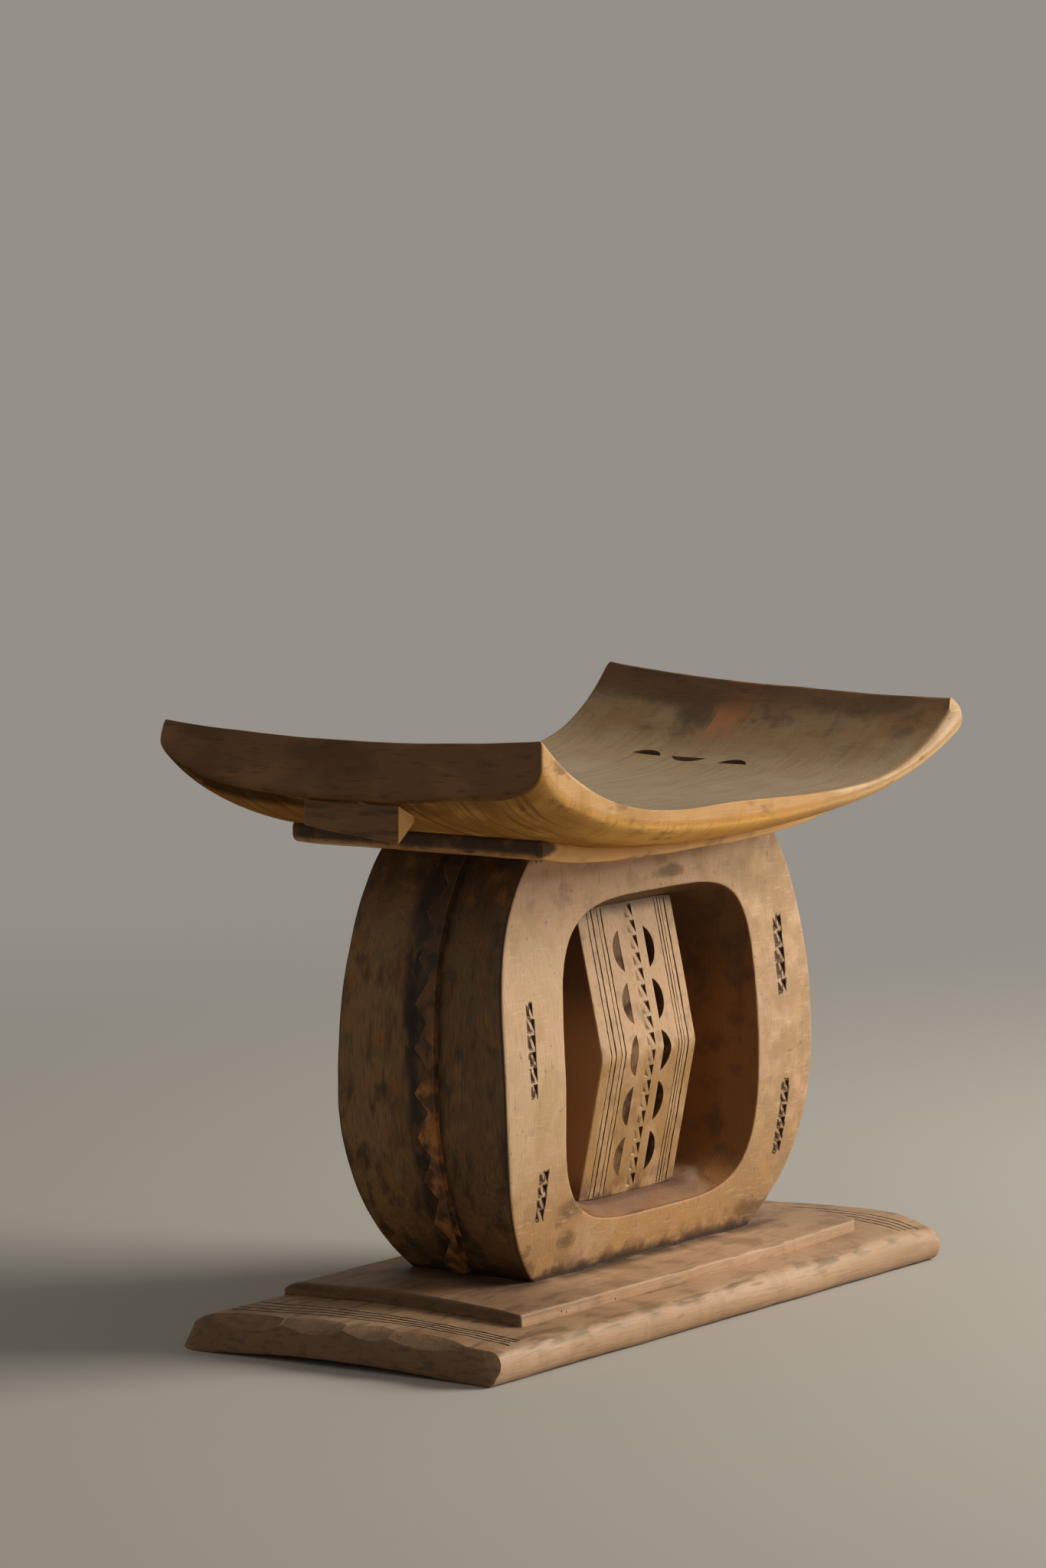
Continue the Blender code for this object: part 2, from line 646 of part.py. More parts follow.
def make_ribs(material, ring, seam_cutters):
    """A toothed strip on each end of the ring, with a tongue let into a groove behind its spine."""
    outside = ring_envelope("rib_face_envelope", GAP + RIB_HEIGHT)
    inside = ring_envelope("rib_back_envelope", GAP)
    tongue_core = ring_envelope("tongue_floor_envelope", -TONGUE_DEPTH)
    groove_core = ring_envelope("groove_floor_envelope", -TONGUE_DEPTH - GAP)
    tongue_roof = ring_envelope("tongue_roof_envelope", GAP + RIB_HEIGHT / 2)
    ribs = {}
    for side in (LEFT, RIGHT):
        side_name = SIDE_NAMES[side]
        start = RING_SHIFT_X + side * RING_HALF_WIDTH
        half_length = RING_HALF_WIDTH / 2
        tongue_mesh = outline_prism(f"tongue_{side_name}", tongue_outline(0.0), half_length, ALONG_X, start)
        tongue = add_cutter(tongue_mesh)
        boolean(tongue, tongue_core)
        boolean(tongue, tongue_roof, "INTERSECT")
        groove_mesh = outline_prism(f"groove_{side_name}", tongue_outline(GAP), half_length, ALONG_X, start)
        groove = add_cutter(groove_mesh)
        boolean(groove, groove_core)
        boolean(ring, groove)
        name = f"end_rib_{side_name}"
        rib_mesh = outline_prism(name, rib_outline(), half_length, ALONG_X, start)
        rib = add_part(name, rib_mesh, material)
        boolean(rib, outside, "INTERSECT")
        boolean(rib, inside)
        boolean(rib, tongue, "UNION")
        for cutter in seam_cutters:
            boolean(rib, cutter)
        ribs[side] = rib
    return ribs


def make_column(material):
    mesh = outline_prism("centre_column", column_outline(), COLUMN_HALF_WIDTH, ALONG_X)
    column = add_part("centre_column", mesh, material, (RING_SHIFT_X, 0.0, 0.0))
    bevel(column, COLUMN_BEVEL, segments=1)
    throat = mouth_outline(-THROAT_INSET - GAP)
    plug = outline_prism("throat_plug", throat, RING_MIDDLE_DEPTH, ALONG_Y)
    boolean(column, add_cutter(plug, (RING_SHIFT_X, 0.0, 0.0)), "INTERSECT")
    crescents = finished_mesh("column_crescents", column_crescents())
    boolean(column, add_cutter(crescents, (RING_SHIFT_X, 0.0, 0.0)))
    return column


def column_crescents():
    """Rows of paired crescents on the two creased faces, with their straight edges to the middle."""
    bm = bmesh.new()
    slope = (column_half_depth(MOUTH_CENTRE_Z) - column_half_depth(0.0)) / MOUTH_CENTRE_Z
    to_middle = {LEFT: CRESCENT_TO_MIDDLE_LEFT, RIGHT: CRESCENT_TO_MIDDLE_RIGHT}
    for row in range(CRESCENT_ROWS):
        rise = (row - (CRESCENT_ROWS - 1) / 2) * CRESCENT_PITCH
        z = MOUTH_CENTRE_Z + rise
        tilt = slope * ((rise > 0) - (rise < 0))
        fold = 0.0 if tilt else slope
        for face in (-1, 1):
            out = Vector((0.0, face, tilt)).normalized()
            along = Vector((0.0, -face * tilt, 1.0)).normalized()
            for side in (LEFT, RIGHT):
                across = Vector((side, 0.0, 0.0))
                point = (side * to_middle[side], face * column_half_depth(z), z)
                frame = surface_frame(across, along, out, point)
                add_thumbnail_cut(bm, frame, CRESCENT_CHORD, CRESCENT_BOW, CRESCENT_DEPTH, fold)
    return bm


def make_seat(material):
    seat = add_part("seat", seat_mesh("seat"), material)
    bevel(seat, SEAT_BEVEL)
    boolean(seat, add_cutter(finished_mesh("seat_notches", seat_notches())))
    smooth(seat)
    return seat


def seat_notches():
    """Three notches in a row across each half of the seat, with the middle one turned inwards."""
    bm = bmesh.new()
    for side in (LEFT, RIGHT):
        for number in (-1, 0, 1):
            turn = side if number else -side
            y = NOTCH_SHIFT_Y + number * NOTCH_PITCH
            x = side * NOTCH_ROW_X
            rise = (seat_top(x + NOTCH_BOW, y) - seat_top(x - NOTCH_BOW, y)) / (2 * NOTCH_BOW)
            across = turn * Vector((1.0, 0.0, rise)).normalized()
            along = Vector((0.0, turn, 0.0))
            out = Vector((-rise, 0.0, 1.0)).normalized()
            frame = surface_frame(across, along, out, (x, y, seat_top(x, y)))
            add_thumbnail_cut(bm, frame, NOTCH_CHORD, NOTCH_BOW, NOTCH_DEPTH)
    return bm


def make_cradle(material, seat_space):
    mesh = outline_prism("seat_cradle", cradle_outline(), CRADLE_WIDTH / 2, ALONG_Y)
    cradle = add_part("seat_cradle", mesh, material)
    bevel(cradle, CRADLE_BEVEL)
    boolean(cradle, seat_space)
    smooth(cradle)
    return cradle


def make_lugs(material, seat_space):
    lugs = {}
    middle_z = hull_keel(SEAT_LENGTH / 2 - LUG_OUTER_TO_END) - LUG_DROP / 2
    for side in (LEFT, RIGHT):
        name = f"grip_lug_{SIDE_NAMES[side]}"
        mesh = outline_prism(name, lug_outline(side), LUG_WIDTH / 2, ALONG_Y)
        for vertex in mesh.vertices:
            if vertex.co.z < middle_z:
                vertex.co.z += LUG_TAPER * vertex.co.y
        lug = add_part(name, mesh, material)
        bevel(lug, LUG_BEVEL)
        boolean(lug, seat_space)
        lugs[side] = lug
    return lugs


def peg_places():
    for side in (LEFT, RIGHT):
        for depth in (-1, 1):
            name = f"{DEPTH_NAMES[depth]}_{SIDE_NAMES[side]}"
            yield name, RING_SHIFT_X + side * PEG_SPACING_X / 2, depth * PEG_SPACING_Y / 2


def make_pegs(material, slab, step, ring, column, cradle, seat, lugs):
    for place, x, y in peg_places():
        low = Vector((x, y, slab_top(y) - BASE_PEG_IN_SLAB))
        high = Vector((x, y, step_top(y) + BASE_PEG_IN_RING))
        peg_with_holes(f"base_peg_{place}", PEG_RADIUS, low, high, material, (slab, step, ring))
    for place, x, y in peg_places():
        low = Vector((x, y, cradle_bottom(x) - SEAT_PEG_IN_RING))
        high = Vector((x, y, hull(x, y) + SEAT_PEG_IN_SEAT))
        peg_with_holes(f"seat_peg_{place}", PEG_RADIUS, low, high, material, (ring, cradle, seat))
    make_column_pegs(material, ring, column)
    for side in (LEFT, RIGHT):
        x = side * (SEAT_LENGTH / 2 - LUG_OUTER_TO_END - LUG_PEG_TO_OUTER_FACE)
        for depth in (-1, 1):
            y = depth * LUG_PEG_SPACING / 2
            low = Vector((x, y, hull(x, y) - LUG_PEG_IN_LUG))
            high = Vector((x, y, hull(x, y) + LUG_PEG_IN_SEAT))
            name = f"lug_peg_{SIDE_NAMES[side]}_{DEPTH_NAMES[depth]}"
            peg_with_holes(name, LUG_PEG_RADIUS, low, high, material, (lugs[side], seat))


def make_column_pegs(material, ring, column):
    """One peg up through the ring's foot and one down through its head, each into an end of the column."""
    reach = MOUTH_HALF_HEIGHT - THROAT_INSET - COLUMN_PEG_IN_COLUMN
    foot = step_top(0.0) + GAP + COLUMN_PEG_RECESS
    head = cradle_bottom(RING_SHIFT_X) - GAP - COLUMN_PEG_RECESS
    runs = (
        ("column_peg_lower", foot, MOUTH_CENTRE_Z - reach, CUT_MARGIN, GAP),
        ("column_peg_upper", MOUTH_CENTRE_Z + reach, head, GAP, CUT_MARGIN),
    )
    for name, bottom, top, below, above in runs:
        low = Vector((RING_SHIFT_X, 0.0, bottom))
        high = Vector((RING_SHIFT_X, 0.0, top))
        smooth(add_part(name, round_bar(name, PEG_RADIUS, low, high), material))
        hole_low = Vector((RING_SHIFT_X, 0.0, bottom - below))
        hole_high = Vector((RING_SHIFT_X, 0.0, top + above))
        hole = add_cutter(round_bar(name + "_hole", PEG_RADIUS + GAP, hole_low, hole_high))
        boolean(ring, hole)
        boolean(column, hole)


def main():
    clear_scene()
    new_collection("carved_stool")
    new_collection("cutters")
    origin = bpy.data.objects.new("stool_origin", None)
    bpy.data.collections["carved_stool"].objects.link(origin)

    woods = {name: wood(name, *look) for name, look in WOODS.items()}

    slab = make_base_slab(woods["base_wood"])
    step = make_base_step(woods["base_wood"])
    seam_cutters = add_seam_cutters()
    ring = make_ring(woods["ring_wood"], seam_cutters)
    make_ribs(woods["rib_wood"], ring, seam_cutters)
    column = make_column(woods["column_wood"])
    seat = make_seat(woods["seat_wood"])
    above_seat = SEAT_TOP_Z + SEAT_RISE + CUT_MARGIN
    seat_space = add_cutter(seat_mesh("seat_space", lowered=GAP, flat_top=above_seat))
    cradle = make_cradle(woods["seat_wood"], seat_space)
    lugs = make_lugs(woods["seat_wood"], seat_space)
    make_pegs(woods["peg_wood"], slab, step, ring, column, cradle, seat, lugs)


main()
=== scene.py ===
"""The looks of the carved stool: worn, hand-cut wood in place of the plain CAD pieces, on a pale floor.

Units are metres, in the CAD model's frame: +X along the stool, +Y to its back, +Z up.
"""

import math
import random

import bmesh
import bpy
import numpy as np
from mathutils import Matrix, Vector


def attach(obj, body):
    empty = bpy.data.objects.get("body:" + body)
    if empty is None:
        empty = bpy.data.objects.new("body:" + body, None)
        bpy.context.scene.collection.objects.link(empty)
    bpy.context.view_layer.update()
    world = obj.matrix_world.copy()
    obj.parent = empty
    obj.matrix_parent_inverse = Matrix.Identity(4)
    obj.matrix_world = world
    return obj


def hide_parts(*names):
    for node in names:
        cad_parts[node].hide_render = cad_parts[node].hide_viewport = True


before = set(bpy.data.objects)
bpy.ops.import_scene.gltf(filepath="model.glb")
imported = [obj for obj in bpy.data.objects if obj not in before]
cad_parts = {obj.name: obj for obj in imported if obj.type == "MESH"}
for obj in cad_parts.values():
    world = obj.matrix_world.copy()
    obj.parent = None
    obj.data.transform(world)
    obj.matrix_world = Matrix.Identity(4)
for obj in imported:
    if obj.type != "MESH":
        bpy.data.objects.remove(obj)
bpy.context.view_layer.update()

# Base sizes, as in the CAD model
SLAB_LENGTH = 0.479
SLAB_WIDTH = 0.238
SLAB_EDGE_HEIGHT = 0.021
SLAB_CROWN = 0.005
SLAB_NOSE = 0.008
SLAB_FOOT_WIDTH = 0.022
SLAB_ARCH = 0.004
STEP_LENGTH = 0.36
STEP_WIDTH = 0.184
STEP_EDGE_HEIGHT = 0.008
STEP_CROWN = 0.004

# Ring and column sizes, as in the CAD model
RING_X = 0.006
RING_Z = 0.1711
RING_HALF_WIDTH = 0.1637
RING_HALF_HEIGHT = 0.1667
RING_SQUARENESS = 2.6
RING_FOOT_DEPTH = 0.095
RING_MIDDLE_DEPTH = 0.132
RING_HEAD_DEPTH = 0.116
RING_FOOT_Z = 0.036
RING_BULGE_Z = 0.15
RING_HEAD_Z = 0.28
MOUTH_Z = 0.1643
MOUTH_HALF_WIDTH = 0.1026
MOUTH_HALF_HEIGHT = 0.1012
MOUTH_SQUARENESS = 4.3
THROAT_INSET = 0.0095
THROAT_HALF_DEPTH = 0.036
COLUMN_HALF_WIDTH = 0.05
COLUMN_CREASE_HALF_DEPTH = 0.0539
COLUMN_SLOPE = 0.217  # how fast the column's faces fall back from the crease
CRESCENT_ROWS = 5
CRESCENT_PITCH = 0.0325
CRESCENT_CHORD = 0.0258
CRESCENT_BOW = 0.0078
CRESCENT_DEPTH = 0.0068
CRESCENT_TO_MIDDLE = {-1: 0.0118, 1: 0.0158}
CRESCENT_DROP = 0.0027  # the rows sit this far below their even places, as the carver set them

# Seat, cradle and lug sizes, as in the CAD model
SEAT_LENGTH = 0.45
SEAT_WIDTH_LEFT = 0.293
SEAT_WIDTH_RIGHT = 0.284
SEAT_TOP_Z = 0.3225
SEAT_RISE = 0.0542
SEAT_RISE_POWER_FRONT = 3.9
SEAT_RISE_POWER_BACK = 6.5
SEAT_DISH = 0.006
SEAT_LEAN = 0.018
SEAT_TWIST = 0.016
SEAT_SWELL = 0.005
SEAT_BACK_SLOPE = 0.37
HULL_Z = 0.3
HULL_RISE = 0.0395
HULL_QUADRATIC_SHARE = 0.43
HULL_FLAT_MIDDLE = 0.085
HULL_FLAT_END_FRONT = 0.1
HULL_FLAT_END_BACK = 0.03
HULL_ROLL_MIDDLE = 0.018
HULL_ROLL_END_FRONT = 0.021
HULL_ROLL_END_BACK = 0.03
HULL_ROLL_POWER = 8.0
NOTCH_ROW_X = 0.157
NOTCH_SHIFT_Y = 0.0223
NOTCH_PITCH = 0.034
NOTCH_CHORD = 0.0225
NOTCH_BOW = 0.0074
NOTCH_DEPTH = 0.0082
MIDDLE_NOTCH_CHORD = 0.0265
MIDDLE_NOTCH_BOW = 0.0074
CRADLE_LENGTH = 0.32
CRADLE_WIDTH = 0.194
CRADLE_THICKNESS = 0.0062
CRADLE_RISE_LEFT = 0.0095
CRADLE_RISE_RIGHT = 0.0125
CRADLE_RISE_POWER_LEFT = 4.0
CRADLE_RISE_POWER_RIGHT = 3.0
LUG_WIDTH = 0.073
LUG_OUTER_X = 0.22
LUG_INNER_X = 0.205
LUG_SETBACK = 0.001
LUG_DROP = 0.0195
LUG_INNER_DROP = 0.003
LUG_TAPER = 0.11

# Hand work
MERGE = 0.00001  # points of a CAD copy closer than this are one
SUNK = 0.0008  # how far a piece is let into its neighbour, so that no light shows between them
FIT = 0.0003  # play of a peg in its hole
CLEAR = 0.004  # how far a cutter stands out of the wood
CROWDING = 0.8  # how far a box's points crowd to its edges
SHADE_ANGLE = math.radians(38)
CARVED = 1.0  # mark on faces that a knife cut; the finishes paint them dark with grime and painted shade
OPEN_CUT = 0.4  # mark on cuts that are open to the light: they get less painted shade, and hold less grime
BROKEN = -1.0  # mark on faces where the wood broke away

DOWN = Vector((0.0, 0.0, -1.0))

chance = random.Random(7)


# Surfaces of the pieces


def slab_top(y):
    return SLAB_EDGE_HEIGHT + SLAB_CROWN * (1 - (2 * y / SLAB_WIDTH) ** 2)


def step_top(y):
    edge = slab_top(STEP_WIDTH / 2) + STEP_EDGE_HEIGHT
    return edge + STEP_CROWN * (1 - (2 * y / STEP_WIDTH) ** 2)


def ring_half_depth(z):
    below = np.clip((RING_BULGE_Z - z) / (RING_BULGE_Z - RING_FOOT_Z), 0.0, 1.0) ** 2
    above = np.clip((z - RING_BULGE_Z) / (RING_HEAD_Z - RING_BULGE_Z), 0.0, 1.0)
    foot_loss = (RING_MIDDLE_DEPTH - RING_FOOT_DEPTH) * below
    head_loss = (RING_MIDDLE_DEPTH - RING_HEAD_DEPTH) * np.sin(above * math.pi / 2) ** 2
    return (RING_MIDDLE_DEPTH - foot_loss - head_loss) / 2


def column_half_depth(z):
    softness = 0.002
    fall = np.sqrt((z - MOUTH_Z) ** 2 + softness**2) - softness
    return COLUMN_CREASE_HALF_DEPTH - COLUMN_SLOPE * fall


def seat_half_width(x):
    share = x / SEAT_LENGTH + 0.5
    return (SEAT_WIDTH_LEFT + (SEAT_WIDTH_RIGHT - SEAT_WIDTH_LEFT) * share) / 2


def seat_top(x, y):
    reach = 2 * x / SEAT_LENGTH
    across = y / seat_half_width(x)
    power = SEAT_RISE_POWER_FRONT + (SEAT_RISE_POWER_BACK - SEAT_RISE_POWER_FRONT) * (1 + across) / 2
    lean = SEAT_LEAN + SEAT_TWIST * reach
    return SEAT_TOP_Z + SEAT_RISE * np.abs(reach) ** power + SEAT_DISH * across**2 + lean * y


def hull_keel(x):
    reach = np.abs(2 * x / SEAT_LENGTH)
    share = HULL_QUADRATIC_SHARE * reach**2 + (1 - HULL_QUADRATIC_SHARE) * reach**4
    return HULL_Z + HULL_RISE * share


def hull_edge(x, y):
    """Half the width of the underside, which swells out at the front towards the right end."""
    swell = SEAT_SWELL * np.maximum(0.0, 2 * x / SEAT_LENGTH) ** 2
    return seat_half_width(x) + np.where(y < 0, swell, 0.0)


def hull(x, y):
    late = np.abs(2 * x / SEAT_LENGTH) ** HULL_ROLL_POWER
    flat_end = np.where(y < 0, HULL_FLAT_END_FRONT, HULL_FLAT_END_BACK)
    roll_end = np.where(y < 0, HULL_ROLL_END_FRONT, HULL_ROLL_END_BACK)
    flat = HULL_FLAT_MIDDLE + (flat_end - HULL_FLAT_MIDDLE) * late
    roll = HULL_ROLL_MIDDLE + (roll_end - HULL_ROLL_MIDDLE) * late
    share = np.clip((np.abs(y) - flat) / (hull_edge(x, y) - flat), 0.0, 1.0)
    return hull_keel(x) + roll * (1 - np.sqrt(1 - share**2))


def cradle_bottom(x):
    reach = np.abs(2 * x / CRADLE_LENGTH)
    left = CRADLE_RISE_LEFT * reach**CRADLE_RISE_POWER_LEFT
    right = CRADLE_RISE_RIGHT * reach**CRADLE_RISE_POWER_RIGHT
    return HULL_Z - CRADLE_THICKNESS + np.where(x < 0, left, right)


def between(low, high, share):
    return low + (high - low) * share


# Working on one object at a time


def only(piece):
    bpy.ops.object.select_all(action="DESELECT")
    piece.select_set(True)
    bpy.context.view_layer.objects.active = piece


def finish_with(piece, kind, **settings):
    """Adds one modifier and applies it."""
    only(piece)
    modifier = piece.modifiers.new(kind.lower(), kind)
    for setting, value in settings.items():
        setattr(modifier, setting, value)
    bpy.ops.object.modifier_apply(modifier=modifier.name)


def in_edit_mode(piece, *steps):
    """Runs edit-mode operators on all of a piece, each given as (operator, settings)."""
    only(piece)
    bpy.ops.object.mode_set(mode="EDIT")
    for operator, settings in steps:
        bpy.ops.mesh.select_all(action="SELECT")
        operator(**settings)
    bpy.ops.object.mode_set(mode="OBJECT")


def face_outwards(piece):
    in_edit_mode(piece, (bpy.ops.mesh.normals_make_consistent, {"inside": False}))


def copy_of_node(node, name):
    """A merged copy of a CAD node."""
    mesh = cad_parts[node].data.copy()
    mesh.name = name
    mesh.materials.clear()
    piece = bpy.data.objects.new(name, mesh)
    bpy.context.scene.collection.objects.link(piece)
    in_edit_mode(
        piece,
        (bpy.ops.mesh.customdata_custom_splitnormals_clear, {}),
        (bpy.ops.mesh.remove_doubles, {"threshold": MERGE}),
    )
    return piece


def joined(things):
    only(things[0])
    for thing in things[1:]:
        thing.select_set(True)
    if len(things) > 1:
        bpy.ops.object.join()
    face_outwards(things[0])
    return things[0]


def copy_placed(template, place):
    """A copy of a cutter with its own mesh, moved to its place."""
    mesh = template.data.copy()
    mesh.transform(place)
    thing = bpy.data.objects.new(template.name, mesh)
    bpy.context.scene.collection.objects.link(thing)
    return thing


def points_of(piece):
    points = np.empty(len(piece.data.vertices) * 3)
    piece.data.vertices.foreach_get("co", points)
    return points.reshape(-1, 3)


def move_points(piece, points):
    piece.data.vertices.foreach_set("co", np.ascontiguousarray(points).ravel())
    piece.data.update()
    face_outwards(piece)


# Shaping


def divided_box(name, cells):
    """A cube of half size 1, divided along each axis by its counts of cells in turn."""
    bpy.ops.mesh.primitive_cube_add(size=2.0)
    box = bpy.context.object
    box.name = name
    bpy.ops.object.mode_set(mode="EDIT")
    bpy.ops.mesh.select_mode(type="EDGE")
    for axis, counts in enumerate(cells):
        for count in counts:
            bpy.ops.mesh.select_all(action="DESELECT")
            bm = bmesh.from_edit_mesh(box.data)
            for edge in bm.edges:
                run = edge.verts[1].co - edge.verts[0].co
                edge.select_set(abs(run[axis]) > 0.5 * run.length)
            bmesh.update_edit_mesh(box.data)
            bpy.ops.mesh.subdivide(number_cuts=count - 1)
    bpy.ops.mesh.select_mode(type="VERT")
    bpy.ops.object.mode_set(mode="OBJECT")
    return box


def shape_box(name, cells, size, edge, surface):
    """A divided box with rounded edges, whose points are moved onto the surfaces of a piece.

    surface gives places from shares u, v and w, which go from -1 to 1 along X, Y and Z.
    """
    box = divided_box(name, cells)
    shares = points_of(box)
    shares = between(shares, np.sin(shares * math.pi / 2), CROWDING)
    half = np.array(size) / 2
    places = shares * half
    core = np.clip(places, edge - half, half - edge)
    away = places - core
    distance = np.linalg.norm(away, axis=1, keepdims=True)
    rounded = core + away * edge / np.maximum(distance, edge)
    move_points(box, np.stack(surface(*(rounded / half).T), axis=-1))
    return box


def cut_by_hand(piece, depth, size):
    """Uneven surface left by an adze and a knife, in hollows of about the given size."""
    texture = bpy.data.textures.new(f"{piece.name}_unevenness", "CLOUDS")
    texture.noise_scale = size
    texture.noise_depth = 1
    finish_with(piece, "DISPLACE", texture=texture, texture_coords="LOCAL", strength=depth, mid_level=0.5)


def mark_faces(piece, value):
    """Notes on every face whether it is carved, broken or plain."""
    layer = piece.data.attributes.get("carved") or piece.data.attributes.new("carved", "FLOAT", "FACE")
    layer.data.foreach_set("value", np.full(len(piece.data.polygons), value, np.float32))


def cut_away(piece, cutter):
    finish_with(piece, "BOOLEAN", operation="DIFFERENCE", solver="MANIFOLD", object=cutter)
    bpy.data.objects.remove(cutter)


def carve(piece, cutters, mark=CARVED):
    """Cuts the cutters out of a piece.

    The faces that they leave get the cutters' own marks, or else the given one.
    """
    if piece.data.attributes.get("carved") is None:
        mark_faces(piece, 0.0)
    for cutter in cutters:
        if cutter.data.attributes.get("carved") is None:
            mark_faces(cutter, mark)
    cut_away(piece, joined(cutters))


def fit_to(piece, nodes, lift):
    """Cuts a piece to the outside of the CAD pieces that it meets."""
    block = joined([copy_of_node(node, "neighbour") for node in nodes])
    in_edit_mode(block, (bpy.ops.mesh.convex_hull, {}))
    block.data.transform(Matrix.Translation((0.0, 0.0, lift)))
    cut_away(piece, block)


def drill(piece, *kinds):
    """Holes for the pegs of the given kinds."""
    holes = []
    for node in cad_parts:
        if node.startswith(kinds):
            hole = copy_of_node(node, "peg_hole")
            finish_with(hole, "DISPLACE", strength=FIT, mid_level=0.0)
            holes.append(hole)
    cut_away(piece, joined(holes))


# Cutters


def surface_frame(across, along, out, point):
    """A frame at a point of a surface, from its three axes."""
    place = Matrix((across, along, out)).transposed().to_4x4()
    place.translation = point
    return place


def point_on(piece, start, towards):
    """Where a ray meets a piece."""
    hit, point, _, _ = piece.ray_cast(Vector(start), Vector(towards))
    if not hit:
        raise ValueError(f"no surface of {piece.name} at {start}")
    return point


def chip_cutter(name, corners, deepest):
    """A three-sided knife chip in a cell of unit size, with its deepest point below the surface."""
    bpy.ops.mesh.primitive_cylinder_add(vertices=3, radius=1.0, depth=2.0)
    chip = bpy.context.object
    chip.name = name
    bpy.ops.object.mode_set(mode="EDIT")
    bpy.ops.mesh.select_all(action="DESELECT")
    bm = bmesh.from_edit_mesh(chip.data)
    for face in bm.faces:
        face.select_set(face.normal.z < -0.5)
    bmesh.update_edit_mesh(chip.data)
    bpy.ops.mesh.poke()
    bpy.ops.object.mode_set(mode="OBJECT")
    for vertex in chip.data.vertices:
        if vertex.co.xy.length < 0.5:
            vertex.co = deepest
            continue
        turn = math.atan2(vertex.co.y, vertex.co.x) % (2 * math.pi)
        corner = corners[round((turn - math.pi / 2) / (2 * math.pi / 3)) % 3]
        vertex.co = (*corner, 1.0 if vertex.co.z > 0 else 0.0)
    return chip


def chip_pair():
    """The two chips of one cell of a ladder: a deep one at its right and a shorter one at its left."""
    right = chip_cutter("chip_right", ((-0.1, 0.5), (0.5, 0.5), (0.5, -0.45)), (0.42, 0.24, -1.0))
    left = chip_cutter("chip_left", ((-0.5, 0.4), (-0.46, -0.42), (0.06, -0.42)), (-0.38, -0.22, -0.6))
    # The right chip gets the full mark, painted dark with grime and painted shade; the left one faces the
    # light and gets less.
    mark_faces(right, CARVED)
    mark_faces(left, OPEN_CUT)
    return joined([right, left])


def ladder_cutters(piece, pair, run, depth, side, half_depth):
    """Chip pairs along a line on the piece's front (side -1) or back (side 1) face."""
    (top_x, top_z), (low_x, low_z), cells, width = run
    pitch = (top_z - low_z) / cells
    cutters = []
    for cell in range(cells):
        share = (cell + 0.5) / cells
        x = between(top_x, low_x, share) + chance.uniform(-0.0003, 0.0003)
        z = between(top_z, low_z, share) + chance.uniform(-0.0004, 0.0004)
        slope = (half_depth(z + 0.001) - half_depth(z - 0.001)) / 0.002
        out = Vector((0.0, side, -slope)).normalized()
        along = Vector((0.0, side * slope, 1.0)).normalized()
        point = point_on(piece, (x, side, z), (0.0, -side, 0.0))
        place = surface_frame(along.cross(out), along, out, point)
        wide = width * chance.uniform(0.88, 1.08)
        tall = pitch * chance.uniform(0.84, 0.96)
        deep = depth * chance.uniform(0.8, 1.2)
        cutters.append(copy_placed(pair, place @ Matrix.Diagonal((wide, tall, deep, 1.0))))
    return cutters


def thumbnail_cutter(name, chord, bow, depth, fold=0.0, fold_at=0.0):
    """A curved knife cut: straight down along its bowed edge, sloping up to its straight edge.

    On a creased surface it is folded where it crosses the crease. fold is how fast it falls back from there.
    """
    radius = (chord**2 / 4 + bow**2) / (2 * bow)
    place = (bow - radius, 0, 0)
    bpy.ops.mesh.primitive_cylinder_add(vertices=96, radius=radius, depth=2 * CLEAR, location=place)
    cutter = bpy.context.object
    cutter.name = name
    bpy.ops.object.transform_apply()
    lead = 0.0006
    edge = {"plane_co": (-lead, 0, 0), "plane_no": (1, 0, 0), "use_fill": True, "clear_inner": True}
    crease = {"plane_co": (0, fold_at, 0), "plane_no": (0, 1, 0)}
    in_edit_mode(cutter, (bpy.ops.mesh.bisect, edge), (bpy.ops.mesh.bisect, crease))
    for vertex in cutter.data.vertices:
        if vertex.co.z < 0:
            vertex.co.z = -depth * max(0.0, vertex.co.x + lead) / bow - 0.0002
        vertex.co.z -= fold * (abs(vertex.co.y - fold_at) - fold_at)
    return cutter


def gouge_line(name, points, radius):
    """A cutter for a narrow groove along points: a four-sided bar, half sunk, uneven as hand work is."""
    curve = bpy.data.curves.new(name, "CURVE")
    curve.dimensions = "3D"
    curve.bevel_depth = radius
    curve.bevel_resolution = 0
    curve.use_fill_caps = True
    spline = curve.splines.new("POLY")
    spline.points.add(len(points) - 1)
    for place, point in zip(spline.points, points):
        place.co = (*point, 1.0)
        place.radius = chance.uniform(0.8, 1.2)
    line = bpy.data.objects.new(name, curve)
    bpy.context.scene.collection.objects.link(line)
    only(line)
    bpy.ops.object.convert(target="MESH")
    in_edit_mode(line, (bpy.ops.mesh.remove_doubles, {"threshold": MERGE}))
    return line


def facet_cutter(point, out, reach):
    """A block whose lower face hews a flat facet through a point."""
    bpy.ops.mesh.primitive_cube_add(size=1.0)
    block = bpy.context.object
    block.name = "facet"
    turned = Vector(out).to_track_quat("Z", "Y").to_matrix().to_4x4()
    grown = Matrix.Diagonal((reach, reach, reach, 1.0)) @ Matrix.Translation((0.0, 0.0, 0.5))
    block.data.transform(Matrix.Translation(point) @ turned @ grown)
    return block


def scoop_cutter(point, along, out, radius):
    """A round bar that leaves a shallow hollow, running along through a point."""
    bpy.ops.mesh.primitive_cylinder_add(vertices=192, radius=radius, depth=0.09)
    bar = bpy.context.object
    bar.name = "scoop"
    raised = Matrix.Translation((0.0, 0.0, radius)) @ Matrix.Rotation(math.pi / 2, 4, "X")
    bar.data.transform(surface_frame(along.cross(out), along, out, point) @ raised)
    return bar


# Pieces


